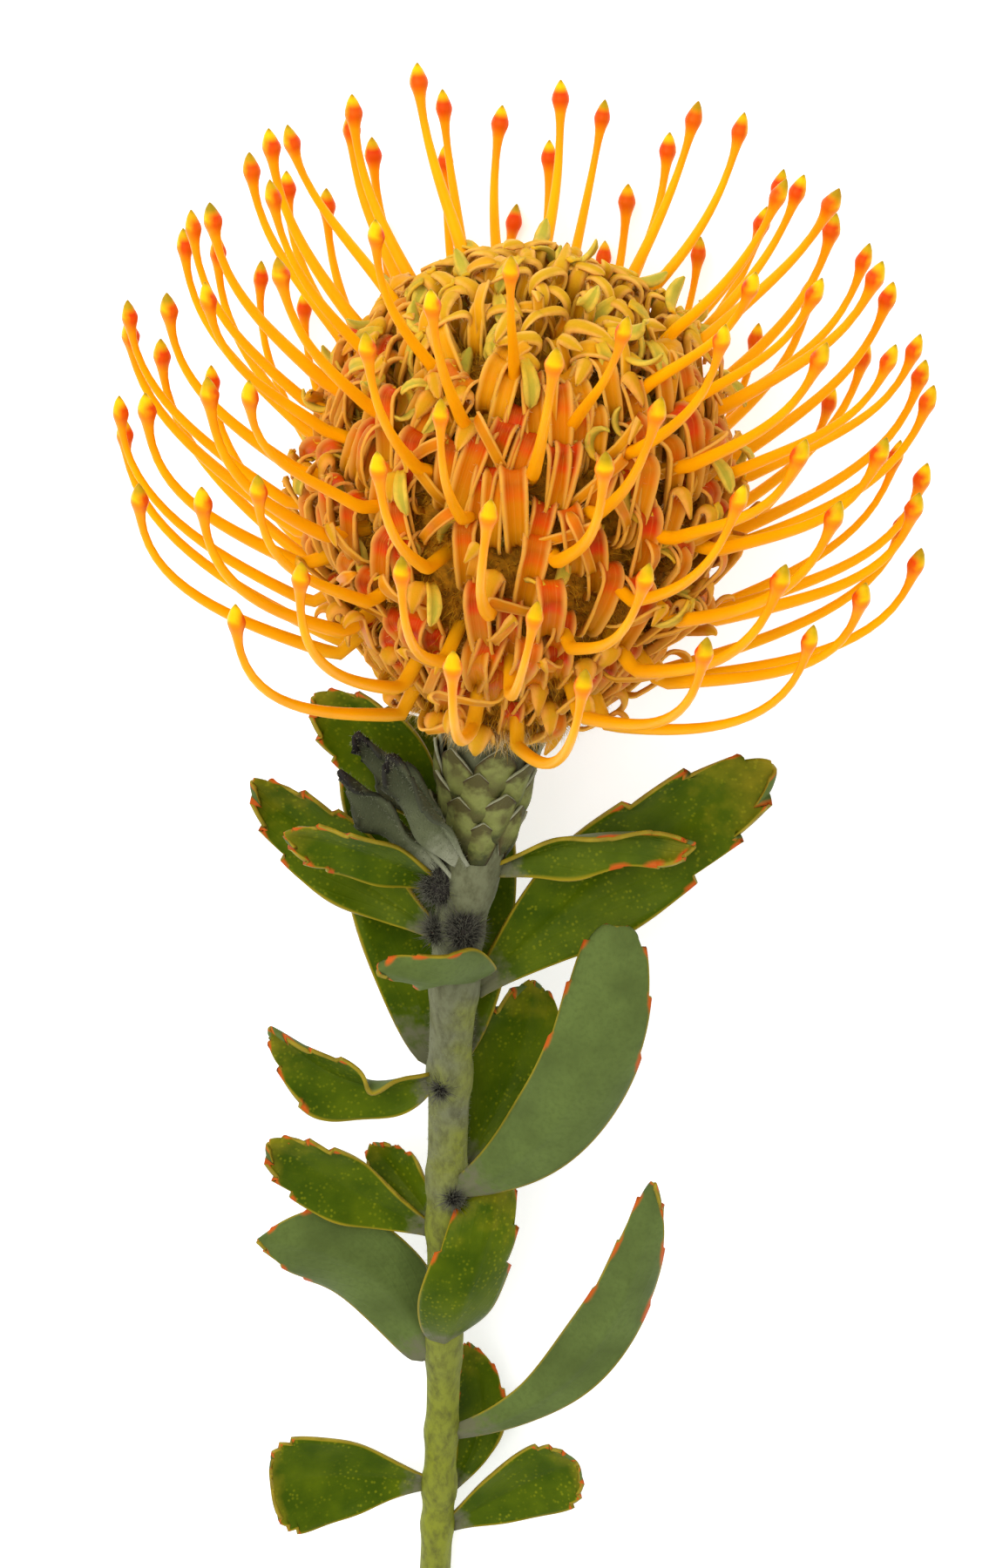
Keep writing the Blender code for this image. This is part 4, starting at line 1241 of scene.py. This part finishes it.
def build_tufts(head, stem):
    """Dark woolly buds in the upper leaf axils: a lumpy core under a mat of short hairs."""
    chance = np.random.default_rng(SEED + 10)
    roots, tips = [], []
    bm = bmesh.new()
    for y, side, size in BUDS:
        centre, radius = stem_at(head, y)
        out = sideways(side)
        spot = centre + out * radius
        place = Matrix.Translation(spot) @ Matrix.Diagonal((*BUD_STRETCH, 1.0))
        bmesh.ops.create_icosphere(bm, subdivisions=3, radius=BUD_RADIUS * size, matrix=place)
        ways = unit(chance.normal(0.0, 1.0, (int(BUD_HAIRS * size), 3)))
        ways = ways[(ways @ out) > -0.1]
        root = spot + ways * np.array(BUD_STRETCH) * BUD_WOOL * size
        aim = unit(ways + chance.normal(0.0, 0.5, ways.shape) + (0.0, 0.5, 0.0))
        roots.append(root)
        tips.append(root + aim * chance.uniform(0.6, 3.2, len(ways))[:, None] * MM)
    for vert in bm.verts:
        vert.co += Vector(chance.normal(0.0, 0.16, 3)) * MM
    dark = mottled("bud_scale", dimmed(stem.tuft, 0.5), stem.tuft, 0.6, 0.9, 0.7, 0.4)
    piece("axil_buds", to_mesh("axil_buds", bm), [dark], "bract", "stem_with_bracts")
    roots, tips = np.concatenate(roots), np.concatenate(tips)
    wool = hair_finish("dark_wool", dimmed(stem.tuft, 0.6), lerp_colour(stem.tuft, stem.down, 0.25))
    grow("axil_wool", roots, tips, WOOL_RADIUS, wool, "bract", "stem_with_bracts",
         droop=chance.normal(0.0, 0.1, roots.shape) * MM)


def build_down(stem, line):
    """Short pale hairs that grey the upper stem."""
    chance = np.random.default_rng(SEED + 11)
    place = np.sqrt(chance.uniform(0.1, 0.92, STEM_HAIRS)) * STEM_RINGS
    row = np.stack([np.interp(place, np.arange(STEM_RINGS + 1), column) for column in line.T], -1)
    turn = chance.uniform(0.0, 2.0 * math.pi, STEM_HAIRS)
    out = np.stack([np.cos(turn), np.zeros(STEM_HAIRS), np.sin(turn)], -1)
    root = row[:, :3] + out * row[:, 3:] * 0.98
    aim = unit(out + chance.normal(0.0, 0.5, out.shape) + np.array((0.0, 0.4, 0.0)))
    tip = root + aim * chance.uniform(0.35, 0.8, STEM_HAIRS)[:, None] * MM
    keep = tip[:, 2] > 0.2 * MM
    grow("stem_down", root[keep], tip[keep], DOWN_RADIUS,
         hair_finish("stem_down_hair", stem.high, stem.down), "stem", "stem_with_bracts")


# ---------------------------------------------------------------- leaves

def leaf_upper(leaves):
    """Leathery upper skin of a leaf: satin green, cloudy, oil specked, ageing towards its end."""
    made, tree = finish_named(
        "leaf_upper_skin", 0.42, Subsurface_Weight=0.05, Subsurface_Scale=0.5 * MM,
        Subsurface_Radius=(0.5, 1.0, 0.1), Specular_Tint=LEAF_SHINE)
    spot, _, along = coordinates(tree)
    cloud = node(tree, "TexNoise", sized(spot, 6.0, 4.0))
    green = node(tree, "ValToRGB", {"Fac": cloud}, stops=(
        (0.35, leaves.upper_deep), (0.65, leaves.upper)))
    dots = node(tree, "TexVoronoi", {"Vector": spot, "Scale": 1.0 / SPECK_SPACING},
                out="Distance")
    near = node(tree, "MapRange", {"Value": dots, "From Min": 0.14, "From Max": 0.36,
                                   "To Min": 0.42, "To Max": 0.0})
    specks = node(tree, "Math", {0: near, 1: patches(tree, spot, 5.0, 0.38, 0.6)},
                  operation="MULTIPLY")
    ragged = node(tree, "Math", {0: node(tree, "TexNoise", sized(spot, 3.0)), 1: 0.5, 2: along},
                  operation="MULTIPLY_ADD")
    ageing = node(tree, "MapRange", {"Value": ragged, "From Min": 0.92, "From Max": 1.32,
                                     "To Max": 0.62})
    skin = coated(tree, green, (specks, leaves.speck), (ageing, leaves.margin),
                  *leaf_coats(tree, leaves, spot))
    return covered(made, skin, leaf_veins(tree, 0.25, 0.5))


def leaf_under(leaves):
    """Underside of a leaf: duller and greyer, with standing veins."""
    made, tree = finish_named("leaf_under_skin", 0.55, Specular_Tint=LEAF_SHINE)
    spot = node(tree, "TexCoord", out="Object")
    cloud = node(tree, "TexNoise", sized(spot, 7.0))
    green = node(tree, "ValToRGB", {"Fac": cloud}, stops=(
        (0.3, dimmed(leaves.under, 0.7)), (0.62, leaves.under)))
    skin = coated(tree, green, (patches(tree, spot, 0.7, 0.45, 0.7, 0.4, 4.0),
                                dimmed(leaves.under, 0.6)), *leaf_coats(tree, leaves, spot))
    return covered(made, skin, leaf_veins(tree, 0.35, 0.4))


def leaf_coats(tree, leaves, spot):
    """Coats of both sides of a leaf: coloured margin, tooth tips and grey downy foot."""
    rim = node(tree, "MapRange", {"Value": "from_edge", "From Min": 0.02 * MM,
                                  "From Max": 0.34 * MM, "To Min": 1.0, "To Max": 0.0})
    knobs = node(tree, "MapRange", {"Value": "callus", "From Min": 0.22, "From Max": 0.62})
    patchy = node(tree, "Math", {0: "foot", 1: node(tree, "TexNoise", sized(spot, 1.5))},
                  operation="MULTIPLY")
    grey = node(tree, "MapRange", {"Value": patchy, "From Min": 0.2, "From Max": 0.45})
    return (rim, leaves.margin), (knobs, leaves.callus), (grey, leaves.foot)


def leaf_veins(tree, strength, height):
    """Bump of the side veins, which leave the midrib at a low angle, with the skin's grain."""
    spot, across, along = coordinates(tree)
    middle = node(tree, "Math", {0: across, 1: 0.5}, operation="SUBTRACT")
    aside = node(tree, "Math", {0: middle}, operation="ABSOLUTE")
    slant = node(tree, "Math", {0: aside, 1: -1.3, 2: along}, operation="MULTIPLY_ADD")
    phase = node(tree, "Math", {0: slant, 1: 34.0}, operation="MULTIPLY")
    wave = node(tree, "Math", {0: phase}, operation="SINE")
    veins = node(tree, "MapRange", {"Value": wave, "From Min": 0.75, "To Max": height})
    grain = node(tree, "Math", {0: node(tree, "TexNoise", sized(spot, 0.6, 4.0)), 1: 0.8,
                                2: veins}, operation="MULTIPLY_ADD")
    return node(tree, "Bump", {"Height": grain, "Strength": strength, "Distance": 0.12 * MM})


def bract_leaf_skin(leaves, stem):
    """Small leaf under the head: matt, grey with down at its foot, dark at its edges and end."""
    made, tree = finish_named("bract_leaf_skin", 0.75)
    spot, across, along = coordinates(tree)
    cloud = node(tree, "TexNoise", sized(spot, 1.5, 4.0))
    moved = node(tree, "Math", {0: cloud, 1: 0.25, 2: along}, operation="MULTIPLY_ADD")
    green = node(tree, "ValToRGB", {"Fac": moved}, stops=(
        (0.15, stem.down), (0.4, leaves.bract), (0.66, dimmed(leaves.bract, 0.62)),
        (0.88, dimmed(leaves.bract, 0.42)), (1.0, dimmed(stem.tuft, 0.45))))
    rim = node(tree, "ValToRGB", {"Fac": across}, stops=(
        (0.0, 0.8), (0.12, 0), (0.88, 0), (1.0, 0.8)))
    dark = node(tree, "Math", {0: rim, 1: along}, operation="MULTIPLY")
    return covered(made, coated(tree, green, (dark, dimmed(stem.tuft, 0.3))),
                   grained(tree, spot, 0.3, 0.6, 0.2))


def midrib(head, leaves, y, side, middle, tip, face):
    """Foot, knee and tip of a leaf's midrib; the foot is sunk in the stem's skin."""
    base = np.array((head.centre[0], head.centre[1], 0.0))
    centre, radius = stem_at(head, y)
    outward = sideways(side)
    middle, tip = base + np.array(middle) * MM, base + np.array(tip) * MM
    stand = GAP + leaves.thickness / 2
    foot = centre + outward * (radius + stand)
    for _ in range(3):
        knee = 2.0 * middle - (foot + tip) / 2.0
        across = unit(np.cross(knee - foot, face))
        foot = centre + outward * (radius + stand + leaves.foot_half * abs(across @ outward))
    return centre + outward * (radius - SUNK), knee, tip


def blade(head, leaves, name, y, side, middle, tip, width, widest, face, cup):
    """Mesh of one leaf blade: bent midrib, narrow foot, widest near its toothed end."""
    face = np.array(face, dtype=float)
    foot, knee, tip = midrib(head, leaves, y, side, middle, tip, face)
    chance = np.random.default_rng([SEED, int(name[-2:]), len(name)])
    waves, fold, bend, slow, fast = MANNERS.get(name, PLAIN_MANNER)
    mesh, _, row, u = strips(name, LEAF_COLUMNS, LOWER_ROWS + CAP_ROWS, 1)
    lower = widest * np.minimum(row / LOWER_ROWS, 1.0)
    turn = np.maximum(row - LOWER_ROWS, 0) / CAP_ROWS * CAP_TURN
    full = width / 2.0 * MM
    half = np.where(row <= LOWER_ROWS,
                    lerp(leaves.foot_half, full,
                         np.sin(0.5 * math.pi * lower / widest) ** slow),
                    full * np.cos(turn) ** fast)
    gap = (turn - TEETH[0]) / (TEETH[1] - TEETH[0])
    notch = np.where(gap > 0.0, (1.0 - gap % 1.0) ** 0.8, 0.0)
    deep = leaves.tooth * chance.uniform(0.8, 1.2) * (FAINT if name in FAINT_TEETH else 1.0)
    part = 1.0 - deep * notch * np.abs(u) ** 5
    if name == NIBBLED:
        part -= BITE_DEPTH * np.exp(-((row - BITE_ROW) / BITE_ROWS) ** 2) * np.clip(u, 0, 1) ** 2
    across_at = u * half * part
    share = lower + (1.0 - widest) * np.sin(turn) * part
    t = share[:, None]
    line = foot * (1 - t) ** 2 + knee * 2 * t * (1 - t) + tip * t * t
    along = unit((knee - foot) * (1 - t) + (tip - knee) * t)
    across = unit(np.cross(along, face))
    up = np.cross(across, along)
    rise = cup * half * (u * u - 0.4) + fold * half * np.abs(u)
    rise += waves * MM * np.sin(share * chance.uniform(9, 13) + np.sign(u) * 1.3
                                + chance.uniform(0, 6)) * np.abs(u) ** 2.5 * smooth(share * 2)
    rise -= GROOVE_DEPTH * np.exp(-(across_at / GROOVE_HALF) ** 2) * smooth((1.0 - share) * 3)
    sway = bend * MM * np.sin(math.pi * share)
    settle(mesh, line + across * (across_at + sway)[:, None] + up * rise[:, None],
           leaves.thickness)
    to_edge = half * part * (1.0 - np.abs(u))
    end_gap = np.hypot((tip - line) @ along[-1], across_at)
    mark(mesh, "from_edge", np.where(turn > END_TURN, np.minimum(to_edge + 9 * MM, end_gap),
                                      to_edge))
    at_tooth = np.exp(-(((turn[:, None] - TEETH + 0.04) * full / CALLUS_RADIUS) ** 2)).max(1)
    close = np.exp(-(to_edge / CALLUS_RADIUS) ** 2)
    mark(mesh, "callus", at_tooth * close * (turn > 0.05))
    mark(mesh, "foot", 1.0 - smooth(share * 4.0))
    return mesh


def build_leaves(head, leaves):
    """The green leaves, each in the place of its solid."""
    upper, under = leaf_upper(leaves), leaf_under(leaves)
    rim = mottled("leaf_margin", leaves.margin, dimmed(leaves.margin, 0.65), 2.0, 0.5, 0.2, 0.4)
    for name, numbers in LEAVES.items():
        mesh = blade(head, leaves, name, *numbers)
        # painted shade: a shaded underside takes the darker, specked upper skin
        back = upper if name in SHADE_PAINTED_BACKS else under
        made = piece(name + "_blade", mesh, [upper, back, rim], "leaf", name)
        thicken(made, leaves.thickness)


def build_bract_leaves(head, leaves, stem):
    """The small grey leaves under the head, with their down."""
    body = bract_leaf_skin(leaves, stem)
    roots, tips = [], []
    for name, numbers in BRACT_LEAVES.items():
        mesh = blade(head, leaves, name, *numbers)
        made = piece(name + "_blade", mesh, [body, body, body], "bract", name)
        thicken(made, leaves.thickness)
        chance = np.random.default_rng([SEED, int(name[-2:]), 5])
        spots = points(mesh.vertices)
        normals = np.array([vert.normal[:] for vert in mesh.vertices])
        pick = chance.integers(0, len(spots), BRACT_HAIRS)
        sign = np.where(chance.random(BRACT_HAIRS) < 0.5, -1.0, 1.0)[:, None]
        root = spots[pick] + normals[pick] * sign * HAIR_ROOT
        aim = unit(normals[pick] * sign + chance.normal(0.0, 0.6, root.shape))
        roots.append(root)
        tips.append(root + aim * chance.uniform(0.3, 0.7, BRACT_HAIRS)[:, None] * MM)
    grow("bract_leaf_down", np.concatenate(roots), np.concatenate(tips), DOWN_RADIUS,
         bpy.data.materials["stem_down_hair"], "bract", *BRACT_LEAVES)


# ---------------------------------------------------------------- stage

def build_stage(head, stage):
    """Plain pale floor, even sky, one large soft light and the camera above the flower."""
    scene = bpy.context.scene
    bm = bmesh.new()
    bmesh.ops.create_grid(bm, x_segments=2, y_segments=2, size=FLOOR_HALF)
    floor = placed("floor", to_mesh("floor", bm))
    paper, _ = finish_named("floor_paper", 0.9, Specular_IOR_Level=0.1, Base_Color=stage.floor,
                            Emission_Color=stage.floor, Emission_Strength=stage.glow)
    floor.data.materials.append(paper)

    world = bpy.data.worlds.new("even_sky")
    world.use_nodes = True
    plug(world.node_tree, world.node_tree.nodes["Background"],
         {"Color": 1.0, "Strength": stage.sky})
    scene.world = world

    centre = Vector(head.centre)
    lamp = bpy.data.lights.new("key", "AREA")
    lamp.shape = "SQUARE"
    lamp.size = LAMP_SIDE
    lamp.energy = stage.key
    key = placed("key", lamp)
    key.location = centre + Vector(LAMP_PLACE)
    key.rotation_euler = (centre - key.location).to_track_quat("-Z", "Y").to_euler()

    eye = centre + stage.distance * Vector((0.0, math.cos(stage.tilt), math.sin(stage.tilt)))
    aim = centre + Vector(AIM)
    forward = (aim - eye).normalized()
    up = Vector((1.0, 0.0, 0.0)).cross(forward).normalized()
    right = forward.cross(up)
    lens = bpy.data.cameras.new("camera")
    lens.lens = stage.lens
    lens.sensor_width = 36.0
    lens.clip_start = 0.01
    camera = placed("camera", lens)
    camera.matrix_world = Matrix((right, up, -forward)).transposed().to_4x4()
    camera.location = eye
    scene.camera = camera
    scene.view_settings.view_transform = "Standard"


# ---------------------------------------------------------------- operators and panel

class PROTEA_OT_styles(bpy.types.Operator):
    """Build the styles: curved waxy filaments, each with a pointed tip"""
    bl_idname = "protea.styles"
    bl_label = "Styles"

    def execute(self, context):
        build_styles(context.scene.protea_head)
        return {"FINISHED"}


class PROTEA_OT_perianths(bpy.types.Operator):
    """Build the rolled perianths of the florets: straps, claws, lobes and their wool"""
    bl_idname = "protea.perianths"
    bl_label = "Perianths"

    def execute(self, context):
        head = context.scene.protea_head
        straps, edges = build_straps(head)
        build_claws(head)
        build_lobes(head, straps)
        build_margin_wool(head, *edges)
        return {"FINISHED"}


class PROTEA_OT_receptacle(bpy.types.Operator):
    """Build the core of the head and the wool under it"""
    bl_idname = "protea.receptacle"
    bl_label = "Receptacle"

    def execute(self, context):
        build_receptacle(context.scene.protea_head)
        build_head_wool(context.scene.protea_head)
        return {"FINISHED"}


class PROTEA_OT_stem(bpy.types.Operator):
    """Build the stem with its cut end and its down"""
    bl_idname = "protea.stem"
    bl_label = "Stem"

    def execute(self, context):
        head, stem = context.scene.protea_head, context.scene.protea_stem
        build_down(stem, build_stem(head, stem))
        return {"FINISHED"}


class PROTEA_OT_involucre(bpy.types.Operator):
    """Build the scales under the head and the woolly buds in the upper leaf axils"""
    bl_idname = "protea.involucre"
    bl_label = "Involucre and Buds"

    def execute(self, context):
        build_involucre(context.scene.protea_head, context.scene.protea_stem)
        build_tufts(context.scene.protea_head, context.scene.protea_stem)
        return {"FINISHED"}


class PROTEA_OT_leaves(bpy.types.Operator):
    """Build the green leaves"""
    bl_idname = "protea.leaves"
    bl_label = "Leaves"

    def execute(self, context):
        build_leaves(context.scene.protea_head, context.scene.protea_leaves)
        return {"FINISHED"}


class PROTEA_OT_bract_leaves(bpy.types.Operator):
    """Build the small grey leaves under the head"""
    bl_idname = "protea.bract_leaves"
    bl_label = "Bract Leaves"

    def execute(self, context):
        scene = context.scene
        build_bract_leaves(scene.protea_head, scene.protea_leaves, scene.protea_stem)
        return {"FINISHED"}


class PROTEA_OT_stage(bpy.types.Operator):
    """Build the floor, the light and the camera"""
    bl_idname = "protea.stage"
    bl_label = "Stage"

    def execute(self, context):
        build_stage(context.scene.protea_head, context.scene.protea_stage)
        return {"FINISHED"}


OPERATORS = (PROTEA_OT_styles, PROTEA_OT_perianths, PROTEA_OT_receptacle, PROTEA_OT_stem,
             PROTEA_OT_involucre, PROTEA_OT_leaves, PROTEA_OT_bract_leaves, PROTEA_OT_stage)
GROUPS = {"protea_head": ProteaHead, "protea_stem": ProteaStem, "protea_leaves": ProteaLeaves,
          "protea_stage": ProteaStage}


class PROTEA_PT_panel(bpy.types.Panel):
    """The protea's settings, and a button for each piece"""
    bl_idname = "PROTEA_PT_panel"
    bl_label = "Pincushion Protea"
    bl_space_type = "VIEW_3D"
    bl_region_type = "UI"
    bl_category = "Protea"

    def draw(self, context):
        for operator in OPERATORS:
            self.layout.operator(operator.bl_idname)
        for label in GROUPS:
            group = getattr(context.scene, label)
            box = self.layout.box()
            box.label(text=label.replace("_", " ").title())
            for setting in group.__annotations__:
                box.prop(group, setting)


def register():
    """Add the settings, the operators and the panel to Blender."""
    for label, group in GROUPS.items():
        bpy.utils.register_class(group)
        setattr(bpy.types.Scene, label, PointerProperty(type=group))
    for made in (*OPERATORS, PROTEA_PT_panel):
        bpy.utils.register_class(made)


def unregister():
    """Take them away again."""
    for made in (PROTEA_PT_panel, *reversed(OPERATORS)):
        bpy.utils.unregister_class(made)
    for label, group in GROUPS.items():
        delattr(bpy.types.Scene, label)
        bpy.utils.unregister_class(group)


def main():
    """Build every piece in order."""
    register()
    for operator in OPERATORS:
        group, name = operator.bl_idname.split(".")
        getattr(getattr(bpy.ops, group), name)()
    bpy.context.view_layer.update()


if __name__ == "__main__":
    main()
